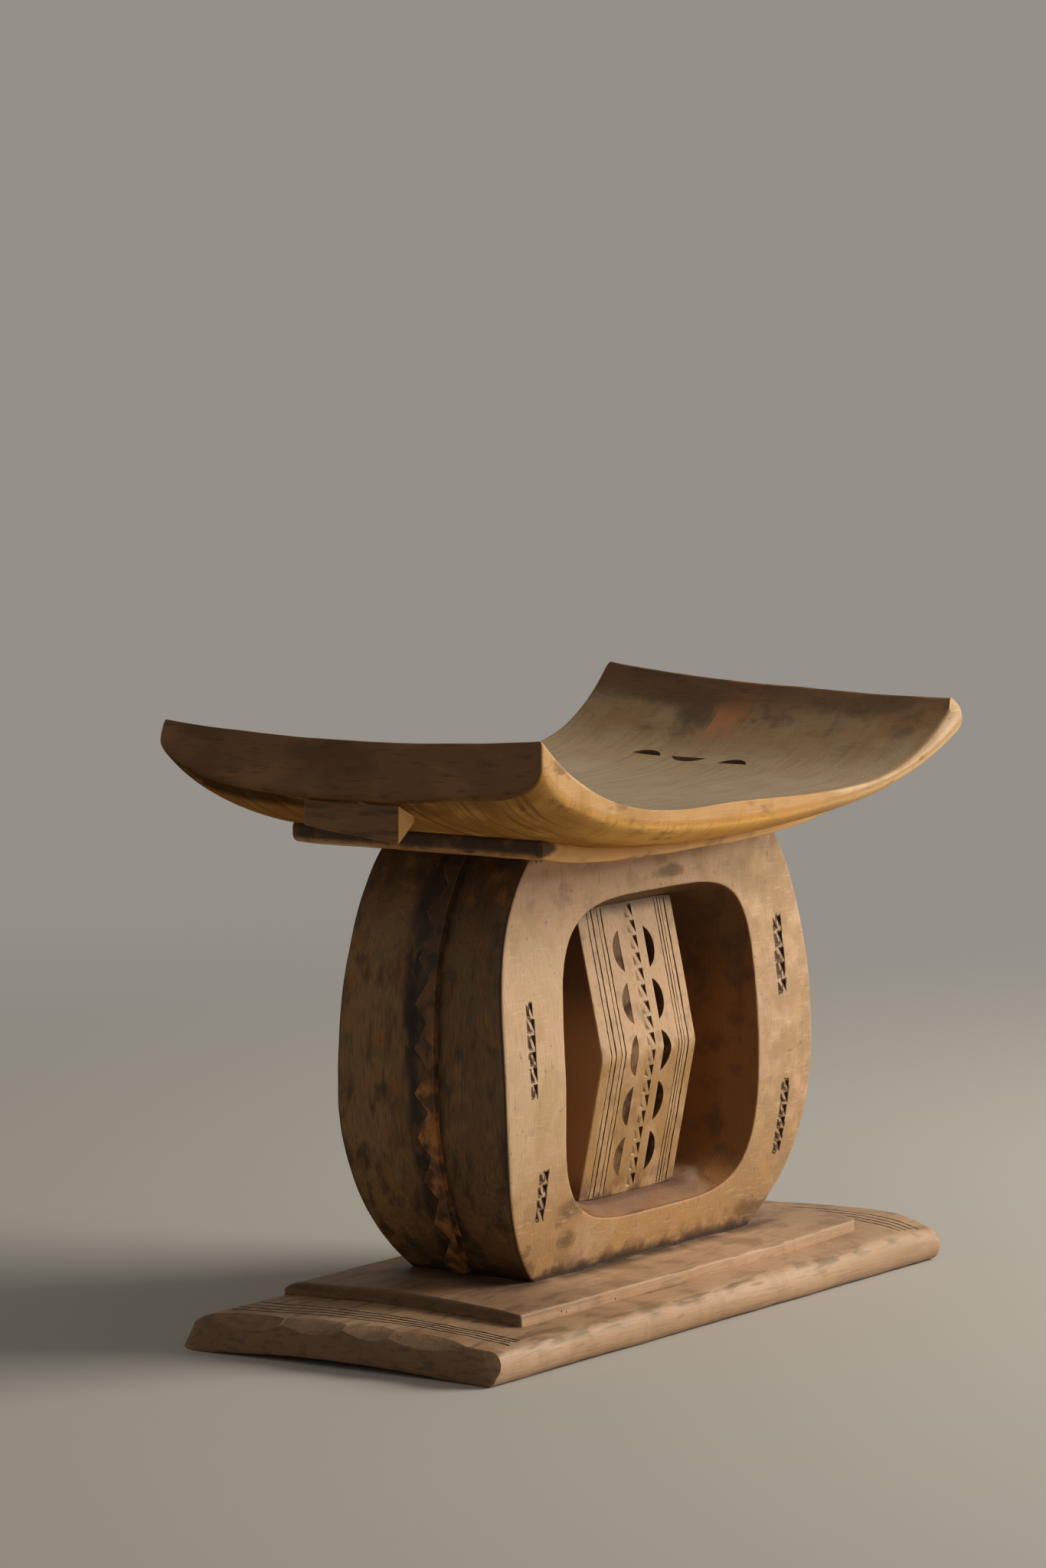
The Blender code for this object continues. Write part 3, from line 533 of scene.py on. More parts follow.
def settle(piece, slot, finish, *nodes):
    """The last steps for every piece: shading, finish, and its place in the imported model."""
    only(piece)
    bpy.ops.object.shade_smooth_by_angle(angle=SHADE_ANGLE)
    piece.data.materials.clear()
    piece.data.materials.append(finish)
    if piece.data.attributes.get("carved") is None:
        mark_faces(piece, 0.0)
    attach(piece, "root")
    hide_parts(*nodes)


SLAB_BACK_SLOPE_WIDTH = 0.03  # the top falls away over this width along the back edge
SLAB_BACK_SLOPE_DROP = 0.011
SLAB_BACK_SPREAD = 0.003  # how far the back's foot stands out
BASE_RIGHT_RISE = 0.0046  # the front half of the base turns up towards the right end
SLAB_RIGHT_FALL = 0.0056  # and the slab's front edge is rounded over there
SLAB_LEFT_SKEW = 0.013  # how far the left end runs out towards its back corner
SLAB_LEFT_LEAN = 0.004  # how far its foot stands out there
SLAB_LEFT_CORNER = 0.026  # rounding of that corner, seen from above


def base_rise(x, y):
    """How far the base's wood has warped upwards at a place."""
    share = np.clip((x - 0.09) / (SLAB_LENGTH / 2 - 0.09), 0.0, 1.0) ** 1.15
    return BASE_RIGHT_RISE * share * np.clip((0.012 - y) / 0.085, 0.0, 1.0)


def slab_left_reach(y, w):
    """How far the slab reaches from its middle to its left end."""
    share = np.clip((y + 0.1) / 0.2, 0.0, 1.0)
    past = np.clip(y - SLAB_WIDTH / 2 + SLAB_LEFT_CORNER, 0.0, SLAB_LEFT_CORNER)
    rounding = SLAB_LEFT_CORNER - np.sqrt(SLAB_LEFT_CORNER**2 - past**2)
    return SLAB_LENGTH / 2 + (SLAB_LEFT_SKEW + SLAB_LEFT_LEAN * (1 - w) / 2) * share - rounding


def slab_surface(u, v, w):
    x = u * np.where(u < 0, slab_left_reach(v * SLAB_WIDTH / 2, w), SLAB_LENGTH / 2)
    round_nose = SLAB_NOSE * (1 - np.sqrt(np.maximum(0.0, 1 - w**2)))
    straight_back = SLAB_BACK_SPREAD * w
    y = v * (SLAB_WIDTH / 2 - np.where(v < 0, round_nose, straight_back))
    arch_half_width = SLAB_WIDTH / 2 - SLAB_NOSE - SLAB_FOOT_WIDTH
    bottom = SLAB_ARCH * np.maximum(0.0, 1 - (y / arch_half_width) ** 2)
    fallen = np.clip((y - SLAB_WIDTH / 2 + SLAB_BACK_SLOPE_WIDTH) / SLAB_BACK_SLOPE_WIDTH, 0.0, 1.0)
    near_right = np.clip((x - STEP_LENGTH / 2) / (SLAB_LENGTH / 2 - STEP_LENGTH / 2), 0.0, 1.0) ** 1.5
    rounded_over = SLAB_RIGHT_FALL * np.clip((-y - 0.085) / 0.026, 0.0, 1.0) ** 1.5 * near_right
    top = slab_top(y) + base_rise(x, y) - SLAB_BACK_SLOPE_DROP * fallen**1.3 - rounded_over
    return x, y, between(bottom, top, (w + 1) / 2)


SCOOP_EDGES_Y = (-0.098, -0.047, -0.01, 0.035, 0.083)
SCOOP_RUN = (0.0085, 0.0115)  # least and most
SCOOP_DROP = (0.006, 0.008)
SCOOP_RADIUS = 0.08  # of a scoop of common width
SCOOP_COMMON_WIDTH = 0.045


def hew_left_end(slab):
    """Shallow scoops along the upper edge of the left end."""
    for low_y, high_y in zip(SCOOP_EDGES_Y, SCOOP_EDGES_Y[1:]):
        middle = (low_y + high_y) / 2
        run = chance.uniform(*SCOOP_RUN)
        drop = chance.uniform(*SCOOP_DROP)
        end = float(slab_left_reach(middle, 1.0))
        top = point_on(slab, (run - end, middle, 1.0), DOWN)
        point = (run / 2 - end, middle, top.z - drop / 2)
        slope = Vector((-run, 0.0, -drop)).normalized()
        out = Vector((-drop, 0.0, run)).normalized()
        radius = SCOOP_RADIUS * ((high_y - low_y) / SCOOP_COMMON_WIDTH) ** 2
        carve(slab, [scoop_cutter(point, slope, out, radius)], 0.0)


def chip_slab_corner(slab):
    """A flat broken off the left front corner."""
    corner = (-SLAB_LENGTH / 2 + 0.0022, -SLAB_WIDTH / 2 + 0.0035, SLAB_EDGE_HEIGHT - 0.007)
    carve(slab, [facet_cutter(corner, (-0.72, -0.62, 0.3), 0.05)], 0.0)


GROOVES_X = (0.2238, 0.2175, 0.2114, 0.2054)  # the lines across each end of the slab
GROOVES_FAN = {-1: (0.115, 0.085, 0.055, 0.02), 1: (0.0, 0.0, 0.0, 0.0)}  # how they spread to the back
GROOVES_FRONT = -0.1105
GROOVES_BACK = 0.088
GROOVES_FAN_FROM = -0.05  # ahead of this the lines run side by side
GROOVE_RADIUS = {-1: 0.0011, 1: 0.0009}
GROOVE_STEPS = 80


def slab_grooves(slab, side):
    lines = []
    for middle, fan in zip(GROOVES_X, GROOVES_FAN[side]):
        front = GROOVES_FRONT + chance.uniform(-0.002, 0.002)
        back = GROOVES_BACK + chance.uniform(-0.002, 0.002)
        points = []
        for step in range(GROOVE_STEPS + 1):
            y = between(front, back, step / GROOVE_STEPS)
            x = side * (middle + fan * max(y, GROOVES_FAN_FROM))
            top = point_on(slab, (x, y, 1.0), DOWN)
            points.append(top + Vector((chance.uniform(-0.00008, 0.00008), 0.0, -0.0001)))
        lines.append(gouge_line("slab_groove", points, GROOVE_RADIUS[side]))
    return lines


def carve_slab(finish):
    size = (SLAB_LENGTH, SLAB_WIDTH, 0.024)
    slab = shape_box("carved_slab", ((16, 8), (76,), (10,)), size, 0.002, slab_surface)
    cut_by_hand(slab, depth=0.0011, size=0.045)
    cut_by_hand(slab, depth=0.0005, size=0.014)
    hew_left_end(slab)
    chip_slab_corner(slab)
    drill(slab, "base_peg")
    carve(slab, slab_grooves(slab, -1))
    # The grooves at the right end get the lighter mark, so less painted shade and grime in them.
    carve(slab, slab_grooves(slab, 1), OPEN_CUT)
    settle(slab, "base_wood", finish, "base_slab")


STEP_BACK_SLOPE_WIDTH = 0.014
STEP_BACK_SLOPE_DROP = 0.004
STEP_RIGHT_REACH = 0.0035  # how far the step runs out at the right
STEP_RIGHT_CORNER = 0.007  # rounding of its front corner there, seen from above


def step_surface(u, v, w):
    y = v * STEP_WIDTH / 2
    fallen = np.clip((y - STEP_WIDTH / 2 + STEP_BACK_SLOPE_WIDTH) / STEP_BACK_SLOPE_WIDTH, 0.0, 1.0)
    past = np.clip(-y - STEP_WIDTH / 2 + STEP_RIGHT_CORNER, 0.0, STEP_RIGHT_CORNER)
    rounding = STEP_RIGHT_CORNER - np.sqrt(STEP_RIGHT_CORNER**2 - past**2)
    x = u * (STEP_LENGTH / 2 + np.where(u > 0, STEP_RIGHT_REACH - rounding, 0.0))
    top = step_top(y) - STEP_BACK_SLOPE_DROP * fallen**2
    return x, y, between(slab_top(y) - SUNK, top, (w + 1) / 2) + base_rise(x, y)


WORM_HOLES_X = (-0.1346, -0.1395, -0.0846)
WORM_HOLES_Z = 0.0262


def carve_step(finish):
    size = (STEP_LENGTH, STEP_WIDTH, 0.012)
    step = shape_box("carved_step", ((12, 8), (64,), (8,)), size, 0.0016, step_surface)
    cut_by_hand(step, depth=0.001, size=0.04)
    cut_by_hand(step, depth=0.0004, size=0.012)
    drill(step, "base_peg")
    holes = []
    for x in WORM_HOLES_X:
        place = (x, -STEP_WIDTH / 2, WORM_HOLES_Z + chance.uniform(-0.0015, 0.0015))
        bpy.ops.mesh.primitive_cone_add(
            vertices=10,
            radius1=0.0007,
            radius2=0.0004,
            depth=0.006,
            location=place,
            rotation=(-math.pi / 2, 0, 0),
        )
        bpy.ops.object.transform_apply()
        holes.append(bpy.context.object)
    carve(step, holes)
    settle(step, "base_wood", finish, "base_step")


def rounded_radius(turn, half_width, half_height, squareness):
    across = np.abs(np.cos(turn)) / half_width
    up = np.abs(np.sin(turn)) / half_height
    return (across**squareness + up**squareness) ** (-1 / squareness)


def rounded_corner(before, corner, after, count):
    """Rows of points on the curve that rounds a corner."""
    shares = np.linspace(0.0, 1.0, count + 2)[1:-1]
    return [before * (1 - s) ** 2 + corner * 2 * s * (1 - s) + after * s**2 for s in shares]


RING_TURN_COUNT = 256
OUTER_EDGE = 0.0028  # rounding of the ring's outer edges
MOUTH_EDGE = 0.0016
THROAT_EDGE = 0.009
MOUTH_SQUARENESS_LEFT = MOUTH_SQUARENESS - 0.6  # the mouth is rounder at its left than at its right
MOUTH_SQUARENESS_RIGHT = MOUTH_SQUARENESS + 0.5
BAND, FACE, THROAT = 0.0, 1.0, 2.0  # zones of the ring's section


def loop_of_points(turn, radius, z):
    """Points round the ring in its middle plane."""
    return np.stack((RING_X + radius * np.cos(turn), 0.0 * turn, z + radius * np.sin(turn)), axis=-1)


def ring_section():
    """Rows of points round the ring, from its outer band's middle over its front to its throat's middle.

    Each row comes with its zone.
    """
    turn = 2 * math.pi * np.arange(RING_TURN_COUNT) / RING_TURN_COUNT
    radius = rounded_radius(turn, RING_HALF_WIDTH, RING_HALF_HEIGHT, RING_SQUARENESS)
    outer = loop_of_points(turn, radius, RING_Z)
    squareness = np.where(np.cos(turn) < 0, MOUTH_SQUARENESS_LEFT, MOUTH_SQUARENESS_RIGHT)
    radius = rounded_radius(turn, MOUTH_HALF_WIDTH, MOUTH_HALF_HEIGHT, squareness)
    inner = loop_of_points(turn, radius, MOUTH_Z)
    middle = loop_of_points(turn, radius - THROAT_INSET, MOUTH_Z)

    def on_face(share):
        points = between(outer, inner, share)
        points[:, 1] = -ring_half_depth(points[:, 2])
        return points

    edge, mouth = on_face(0.0), on_face(1.0)
    throat = middle - np.array((0.0, THROAT_HALF_DEPTH, 0.0))
    face_width = RING_HALF_WIDTH - MOUTH_HALF_WIDTH
    flare_depth = RING_MIDDLE_DEPTH / 2 - THROAT_HALF_DEPTH
    band_end = 1 - OUTER_EDGE / (RING_MIDDLE_DEPTH / 2)
    face_start, face_end = OUTER_EDGE / face_width, 1 - MOUTH_EDGE / face_width
    flare_start, flare_end = MOUTH_EDGE / flare_depth, 1 - THROAT_EDGE / flare_depth
    throat_start = THROAT_EDGE / THROAT_HALF_DEPTH

    rows = [(between(outer, edge, share), BAND) for share in np.linspace(0.0, band_end, 16)]
    corner = rounded_corner(rows[-1][0], edge, on_face(face_start), 5)
    rows += zip(corner, np.linspace(BAND, FACE, 7)[1:-1])
    rows += [(on_face(share), FACE) for share in np.linspace(face_start, face_end, 24)]
    corner = rounded_corner(rows[-1][0], mouth, between(mouth, throat, flare_start), 4)
    rows += zip(corner, np.linspace(FACE, THROAT, 6)[1:-1])
    rows += [(between(mouth, throat, share), THROAT) for share in np.linspace(flare_start, flare_end, 9)]
    corner = rounded_corner(rows[-1][0], throat, between(throat, middle, throat_start), 4)
    rows += [(row, THROAT) for row in corner]
    rows += [(between(throat, middle, share), THROAT) for share in np.linspace(throat_start, 1.0, 8)]
    return rows


def shape_ring():
    """A torus whose rows of points are moved onto the ring's section and its mirror image at the back."""
    front = ring_section()
    mirrored = np.array((1.0, -1.0, 1.0))
    rows = front + [(points * mirrored, zone) for points, zone in front[-2:0:-1]]
    bpy.ops.mesh.primitive_torus_add(
        major_segments=RING_TURN_COUNT, minor_segments=len(rows), major_radius=1.0, minor_radius=0.25
    )
    ring = bpy.context.object
    ring.name = "carved_ring"
    move_points(ring, np.stack([points for points, _ in rows], axis=1))
    zones = np.tile(np.array([zone for _, zone in rows], np.float32), RING_TURN_COUNT)
    ring.data.attributes.new("zone", "FLOAT", "POINT").data.foreach_set("value", zones)
    return ring


# Bands of chips: place (x, z) of the upper and the lower end, number of cells, width
LADDERS = (
    ((-0.1296, 0.211), (-0.1296, 0.1515), 6, 0.0066),
    ((-0.1160, 0.1055), (-0.1161, 0.0735), 4, 0.0085),
    ((0.1369, 0.235), (0.1381, 0.1845), 5, 0.0088),
    ((0.1395, 0.1283), (0.1355, 0.0805), 6, 0.0078),
)
RING_CHIP_DEPTH = 0.0024


def carve_ring(finish):
    ring = shape_ring()
    cut_by_hand(ring, depth=0.0012, size=0.05)
    cut_by_hand(ring, depth=0.0004, size=0.014)
    fit_to(ring, ("base_slab", "base_step"), FIT)
    fit_to(ring, ("seat_cradle", "seat"), -FIT)
    drill(ring, "base_peg", "seat_peg", "column_peg")
    pair = chip_pair()
    cutters = []
    for side in (-1, 1):
        for run in LADDERS:
            cutters += ladder_cutters(ring, pair, run, RING_CHIP_DEPTH, side, ring_half_depth)
    bpy.data.objects.remove(pair)
    carve(ring, cutters)
    settle(ring, "ring_wood", finish, "ring_frame")


def column_surface(u, v, w):
    x = u * COLUMN_HALF_WIDTH
    throat_half_height = MOUTH_HALF_HEIGHT - THROAT_INSET
    throat_half_width = MOUTH_HALF_WIDTH - THROAT_INSET
    squared = 1 - np.abs(x / throat_half_width) ** MOUTH_SQUARENESS
    z = MOUTH_Z + w * (throat_half_height * squared ** (1 / MOUTH_SQUARENESS) + SUNK)
    return RING_X + x, v * column_half_depth(z), z


def column_crescents():
    plain = thumbnail_cutter("crescent", CRESCENT_CHORD, CRESCENT_BOW, CRESCENT_DEPTH)
    folded = thumbnail_cutter(
        "folded_crescent", CRESCENT_CHORD, CRESCENT_BOW, CRESCENT_DEPTH, COLUMN_SLOPE, CRESCENT_DROP
    )
    cutters = []
    for row in range(CRESCENT_ROWS):
        rise = (row - (CRESCENT_ROWS - 1) / 2) * CRESCENT_PITCH
        z = MOUTH_Z + rise - CRESCENT_DROP
        tilt = COLUMN_SLOPE * ((rise > 0) - (rise < 0))
        for face in (-1, 1):
            out = Vector((0.0, face, tilt)).normalized()
            along = Vector((0.0, -face * tilt, 1.0)).normalized()
            for side in (-1, 1):
                across = Vector((side, 0.0, 0.0))
                point = (RING_X + side * CRESCENT_TO_MIDDLE[side], face * column_half_depth(z), z)
                crescent = plain if tilt else folded
                cutter = copy_placed(crescent, surface_frame(across, along, out, point))
                # The left crescents face the light and get less painted shade than the right ones.
                mark_faces(cutter, OPEN_CUT if side < 0 else CARVED)
                cutters.append(cutter)
    bpy.data.objects.remove(plain)
    bpy.data.objects.remove(folded)
    return cutters


# Fine lines down the column: offset from its middle, radius
COLUMN_LINES = (
    (-0.0400, 0.00055),
    (-0.0352, 0.00075),
    (-0.0292, 0.0005),
    (-0.0252, 0.0007),
    (0.0318, 0.0005),
    (0.0350, 0.0006),
    (0.0378, 0.00045),
    (0.0420, 0.0008),
)
COLUMN_LINE_STEPS = 48
COLUMN_LADDER = ((RING_X + 0.0033, 0.2548), (RING_X + 0.0028, 0.0742), 18, 0.0084)
COLUMN_CHIP_DEPTH = 0.0022


def column_lines():
    half_height = MOUTH_HALF_HEIGHT - THROAT_INSET - 0.001
    lines = []
    for face in (-1, 1):
        for offset, radius in COLUMN_LINES:
            points = []
            for step in range(COLUMN_LINE_STEPS + 1):
                z = MOUTH_Z + (2 * step / COLUMN_LINE_STEPS - 1) * half_height
                x = RING_X + offset + chance.uniform(-0.0001, 0.0001)
                points.append(Vector((x, face * column_half_depth(z), z)))
            lines.append(gouge_line("column_line", points, radius))
    return lines


def carve_column(finish):
    size = (2 * COLUMN_HALF_WIDTH, 2 * COLUMN_CREASE_HALF_DEPTH, 2 * MOUTH_HALF_HEIGHT)
    column = shape_box("carved_column", ((44,), (36,), (76,)), size, 0.0012, column_surface)
    cut_by_hand(column, depth=0.0005, size=0.03)
    drill(column, "column_peg")
    carve(column, column_crescents())
    carve(column, column_lines())
    pair = chip_pair()
    for side in (-1, 1):
        carve(column, ladder_cutters(column, pair, COLUMN_LADDER, COLUMN_CHIP_DEPTH, side, column_half_depth))
    bpy.data.objects.remove(pair)
    settle(column, "column_wood", finish, "centre_column")


RIB_FOOT_LEAN = {"left": 0.0135, "right": 0.0}  # how far the foot leans to the back
RIB_LEAN_FROM_Z = 0.075
RIB_LEAN_HEIGHT = 0.04
RIB_VOXEL = 0.0008


def carve_ribs(finish):
    for side in ("left", "right"):
        rib = copy_of_node(f"end_rib_{side}", f"carved_rib_{side}")
        points = points_of(rib)
        x, z = points[:, 0] - RING_X, points[:, 2] - RING_Z
        turn = np.arctan2(z, x)
        proud = np.hypot(x, z) - rounded_radius(turn, RING_HALF_WIDTH, RING_HALF_HEIGHT, RING_SQUARENESS)
        sunk = np.where(proud < 2 * FIT, -SUNK, 0.0)
        foot = np.clip((RIB_LEAN_FROM_Z - points[:, 2]) / RIB_LEAN_HEIGHT, 0.0, 1.0) ** 2
        points += np.stack((np.cos(turn) * sunk, RIB_FOOT_LEAN[side] * foot, np.sin(turn) * sunk), axis=-1)
        move_points(rib, points)
        finish_with(rib, "REMESH", mode="VOXEL", voxel_size=RIB_VOXEL)
        finish_with(rib, "SMOOTH", factor=0.5, iterations=4)
        cut_by_hand(rib, depth=0.0014, size=0.012)
        settle(rib, "rib_wood", finish, f"end_rib_{side}")


RIM_LIFT = 0.0022  # how far the front rim stands up left of the middle
RIM_WEAR = 0.001  # and how far it is worn down at the right
TIP_WEAR = 0.0045  # how far the right front tip is worn down
TIP_CHIP = Vector((-0.003, 0.0035, -0.0072))  # from that tip to the flat where it broke
LEFT_CHAMFER = 0.0062


def worn_top(x, y):
    """The sitting surface, whose front rim is left high in the middle and worn low towards the right end."""
    near_rim = np.clip((-y - 0.1) / 0.045, 0.0, 1.0) ** 2
    lift = RIM_LIFT * np.exp(-(((x + 0.03) / 0.06) ** 2)) - RIM_WEAR * np.exp(-(((x - 0.14) / 0.05) ** 2))
    near_tip = np.clip((x - 0.08) / 0.12, 0.0, 1.0) * np.clip((-y - 0.02) / 0.12, 0.0, 1.0)
    return seat_top(x, y) + lift * near_rim - TIP_WEAR * near_tip


def left_chamfer(x, y):
    """How far the underside is pared up along the front half of the left end's lower edge."""
    near_end = np.clip((-x - 0.203) / 0.022, 0.0, 1.0)
    near_front = np.clip((-y - 0.03) / 0.07, 0.0, 1.0)
    return LEFT_CHAMFER * near_end**1.5 * near_front * near_front * (3 - 2 * near_front)


def seat_surface(u, v, w):
    x = u * SEAT_LENGTH / 2
    half_width = seat_half_width(x)
    low_y = v * hull_edge(x, v)
    low = hull(x, low_y) + left_chamfer(x, low_y)
    back_height = seat_top(x, half_width) - hull(x, half_width)
    high_y = v * np.where(v < 0, half_width, half_width - SEAT_BACK_SLOPE * back_height)
    up = (w + 1) / 2
    return x, between(low_y, high_y, up**2), between(low, worn_top(x, high_y), up)


FRONT_NOTCH_SHIFT = (0.005, 0.004)  # the front notch of each row sits off its even place


def seat_notches(seat):
    outer = thumbnail_cutter("notch", NOTCH_CHORD, NOTCH_BOW, NOTCH_DEPTH)
    middle = thumbnail_cutter("middle_notch", MIDDLE_NOTCH_CHORD, MIDDLE_NOTCH_BOW, NOTCH_DEPTH)
    # The middle notches get the lighter mark, so less painted shade and grime in them.
    mark_faces(outer, CARVED)
    mark_faces(middle, OPEN_CUT)
    cutters = []
    for side in (-1, 1):
        for number in (-1, 0, 1):
            turn = side if number else -side
            shift_x, shift_y = FRONT_NOTCH_SHIFT if number < 0 else (0.0, 0.0)
            x = side * NOTCH_ROW_X - turn * FIT - shift_x
            y = NOTCH_SHIFT_Y + number * NOTCH_PITCH - shift_y
            rise = (seat_top(x + NOTCH_BOW, y) - seat_top(x - NOTCH_BOW, y)) / (2 * NOTCH_BOW)
            across = turn * Vector((1.0, 0.0, rise)).normalized()
            out = Vector((-rise, 0.0, 1.0)).normalized()
            place = surface_frame(across, (0.0, turn, 0.0), out, point_on(seat, (x, y, 1.0), DOWN))
            cutters.append(copy_placed(outer if number else middle, place))
    bpy.data.objects.remove(outer)
    bpy.data.objects.remove(middle)
    return cutters


def carve_seat(finish):
    size = (SEAT_LENGTH, SEAT_WIDTH_LEFT, 0.026)
    seat = shape_box("carved_seat", ((16, 10), (92,), (12,)), size, 0.0022, seat_surface)
    cut_by_hand(seat, depth=0.0012, size=0.055)
    cut_by_hand(seat, depth=0.0003, size=0.016)
    drill(seat, "seat_peg", "lug_peg")
    carve(seat, seat_notches(seat))
    tip_x, tip_y = SEAT_LENGTH / 2, -SEAT_WIDTH_RIGHT / 2
    tip = Vector((tip_x, tip_y, seat_top(tip_x, tip_y)))
    carve(seat, [facet_cutter(tip + TIP_CHIP, (-0.3, -0.62, 0.72), 0.03)], BROKEN)
    settle(seat, "seat_wood", finish, "seat")


def cradle_surface(u, v, w):
    x = u * CRADLE_LENGTH / 2
    y = v * CRADLE_WIDTH / 2
    return x, y, between(cradle_bottom(x), hull(x, y) + SUNK, (w + 1) / 2)


def carve_cradle(finish):
    size = (CRADLE_LENGTH, CRADLE_WIDTH, 0.009)
    cradle = shape_box("carved_cradle", ((12, 8), (64,), (8,)), size, 0.003, cradle_surface)
    cut_by_hand(cradle, depth=0.0008, size=0.03)
    drill(cradle, "seat_peg")
    settle(cradle, "seat_wood", finish, "seat_cradle")


def lug_surface(u, v, w):
    """The wedge under the right end. u goes from its inner to its outer face."""
    y = v * LUG_WIDTH / 2
    share = (u + 1) / 2
    low_x = between(LUG_INNER_X, LUG_OUTER_X + LUG_SETBACK, share)
    high_x = between(LUG_INNER_X, LUG_OUTER_X, share)
    inner_low = hull_keel(LUG_INNER_X) - LUG_INNER_DROP
    outer_low = hull_keel(LUG_OUTER_X) - LUG_DROP + LUG_TAPER * y
    up = (w + 1) / 2
    top = hull(high_x, y) + 3 * SUNK
    return between(low_x, high_x, up), y, between(between(inner_low, outer_low, share), top, up)


def carve_lugs(finish):
    for side, name in ((-1, "left"), (1, "right")):
        size = (0.016, LUG_WIDTH, 0.018)
        lug = shape_box(f"carved_lug_{name}", ((16,), (40,), (20,)), size, 0.0014, lug_surface)
        move_points(lug, points_of(lug) * np.array((side, 1.0, 1.0)))
        cut_by_hand(lug, depth=0.0009, size=0.016)
        drill(lug, f"lug_peg_{name}")
        settle(lug, "seat_wood", finish, f"grip_lug_{name}")


# Finishes


def add_node(tree, kind, inputs, **settings):
    """A node with its inputs set, or linked where another node's output is given."""
    node = tree.nodes.new(kind)
    for setting, value in settings.items():
        setattr(node, setting, value)
    for socket, value in inputs.items():
        set_input(tree, node, socket, value)
    return node


def set_input(tree, node, socket, value):
    if isinstance(value, bpy.types.NodeSocket):
        tree.links.new(value, node.inputs[socket])
    else:
        node.inputs[socket].default_value = value


class Finish:
    """One wood finish, whose colour is built up in layers: stains, grime and wear as on real wood, and in
    places painted light and shade.
    """

    def __init__(self, name, colour):
        self.material = bpy.data.materials.new(name)
        self.material.use_nodes = True
        self.tree = self.material.node_tree
        self.shader = self.tree.nodes["Principled BSDF"]
        self.colour = (*colour, 1.0)
        coordinates = self.node("ShaderNodeTexCoord", {})
        self.place = coordinates.outputs["Object"]
        self.x, self.y, self.z = self.node("ShaderNodeSeparateXYZ", {0: self.place}).outputs
        normal = self.node("ShaderNodeSeparateXYZ", {0: coordinates.outputs["Normal"]})
        self.facing_x, self.facing_y, self.facing_z = normal.outputs
        self.edge = self.node("ShaderNodeNewGeometry", {}).outputs["Pointiness"]
        self.mark = self.attribute("carved")

    def node(self, kind, inputs, **settings):
        return add_node(self.tree, kind, inputs, **settings)

    def attribute(self, name):
        return self.node("ShaderNodeAttribute", {}, attribute_name=name).outputs["Fac"]

    def maths(self, operation, *values):
        return self.node("ShaderNodeMath", dict(enumerate(values)), operation=operation).outputs[0]

    def size_of(self, value, middle=0.0):
        """How far a value is from its middle, to either side."""
        return self.maths("ABSOLUTE", self.maths("SUBTRACT", value, middle))

    def both(self, *masks):
        """Where all the masks hold."""
        mask = masks[0]
        for other in masks[1:]:
            mask = self.maths("MULTIPLY", mask, other)
        return mask

    def rising(self, value, low, high, full=1.0):
        """A soft mask that goes from nothing at low to full at high."""
        inputs = {"Value": value, "From Min": low, "From Max": high, "To Min": 0.0, "To Max": full}
        return self.node("ShaderNodeMapRange", inputs, interpolation_type="SMOOTHSTEP").outputs[0]

    def mottle(self, size, stretch=(1.0, 1.0, 1.0), turn=(0.0, 0.0, 0.0), detail=3.0, uneven=0.0, shift=0.0):
        """Noise with features of about the given size, drawn out along an axis where stretch is small."""
        inputs = {"Vector": self.place, "Scale": stretch, "Rotation": turn, "Location": (shift, shift, shift)}
        mapped = self.node("ShaderNodeMapping", inputs).outputs[0]
        inputs = {"Vector": mapped, "Scale": 1.0 / size, "Detail": detail, "Distortion": uneven}
        return self.node("ShaderNodeTexNoise", inputs).outputs["Fac"]

    def spot(self, point, size, ragged, full=1.0):
        """A mask round a point, out to about the given sizes, with an edge broken up by a mottle."""
        away = self.node("ShaderNodeVectorMath", {0: self.place, 1: point}, operation="SUBTRACT").outputs[0]
        shrunk = self.node("ShaderNodeVectorMath", {0: away, 1: size}, operation="DIVIDE").outputs[0]
        reach = self.node("ShaderNodeVectorMath", {0: shrunk}, operation="LENGTH").outputs["Value"]
        broken = self.maths("MULTIPLY_ADD", self.maths("SUBTRACT", ragged, 0.5), 3.0, reach)
        return self.rising(broken, 1.1, 0.45, full)

    def lay_stain_or_light(self, colour, *masks):
        """Lays a colour over what is there, as far as all the masks allow, for stains, grime and wear, and
        for painted light and shade.
        """
        inputs = {0: self.both(*masks), 6: self.colour, 7: (*colour, 1.0)}
        self.colour = self.node("ShaderNodeMix", inputs, data_type="RGBA").outputs[2]

    def wear(self, pale, grime, pale_full=0.6, grime_full=0.7):
        """Pale rubbed edges, and grime that gathers in corners and cuts."""
        self.lay_stain_or_light(pale, self.rising(self.edge, 0.515, 0.6, pale_full))
        self.lay_stain_or_light(grime, self.rising(self.edge, 0.485, 0.41, grime_full))

    def close(self, relief, depth, dull, shiny, sheen=0.3):
        """Ends the finish: relief is pressed into the surface, and goes with how dull or shiny it is."""
        inputs = {"Value": relief, "From Min": 0.3, "From Max": 0.7, "To Min": dull, "To Max": shiny}
        rough = self.node("ShaderNodeMapRange", inputs)
        bump = self.node("ShaderNodeBump", {"Height": relief, "Strength": 0.5, "Distance": depth})
        set_input(self.tree, self.shader, "Base Color", self.colour)
        set_input(self.tree, self.shader, "Roughness", rough.outputs[0])
        set_input(self.tree, self.shader, "Normal", bump.outputs[0])
        set_input(self.tree, self.shader, "Specular IOR Level", sheen)
        return self.material


UPRIGHT_GRAIN = (1.0, 1.0, 0.07)
LONG_GRAIN = (0.07, 1.0, 1.0)
SEAT_GRAIN = (0.05, 1.0, 0.05)  # follows the seat up its turned-up ends
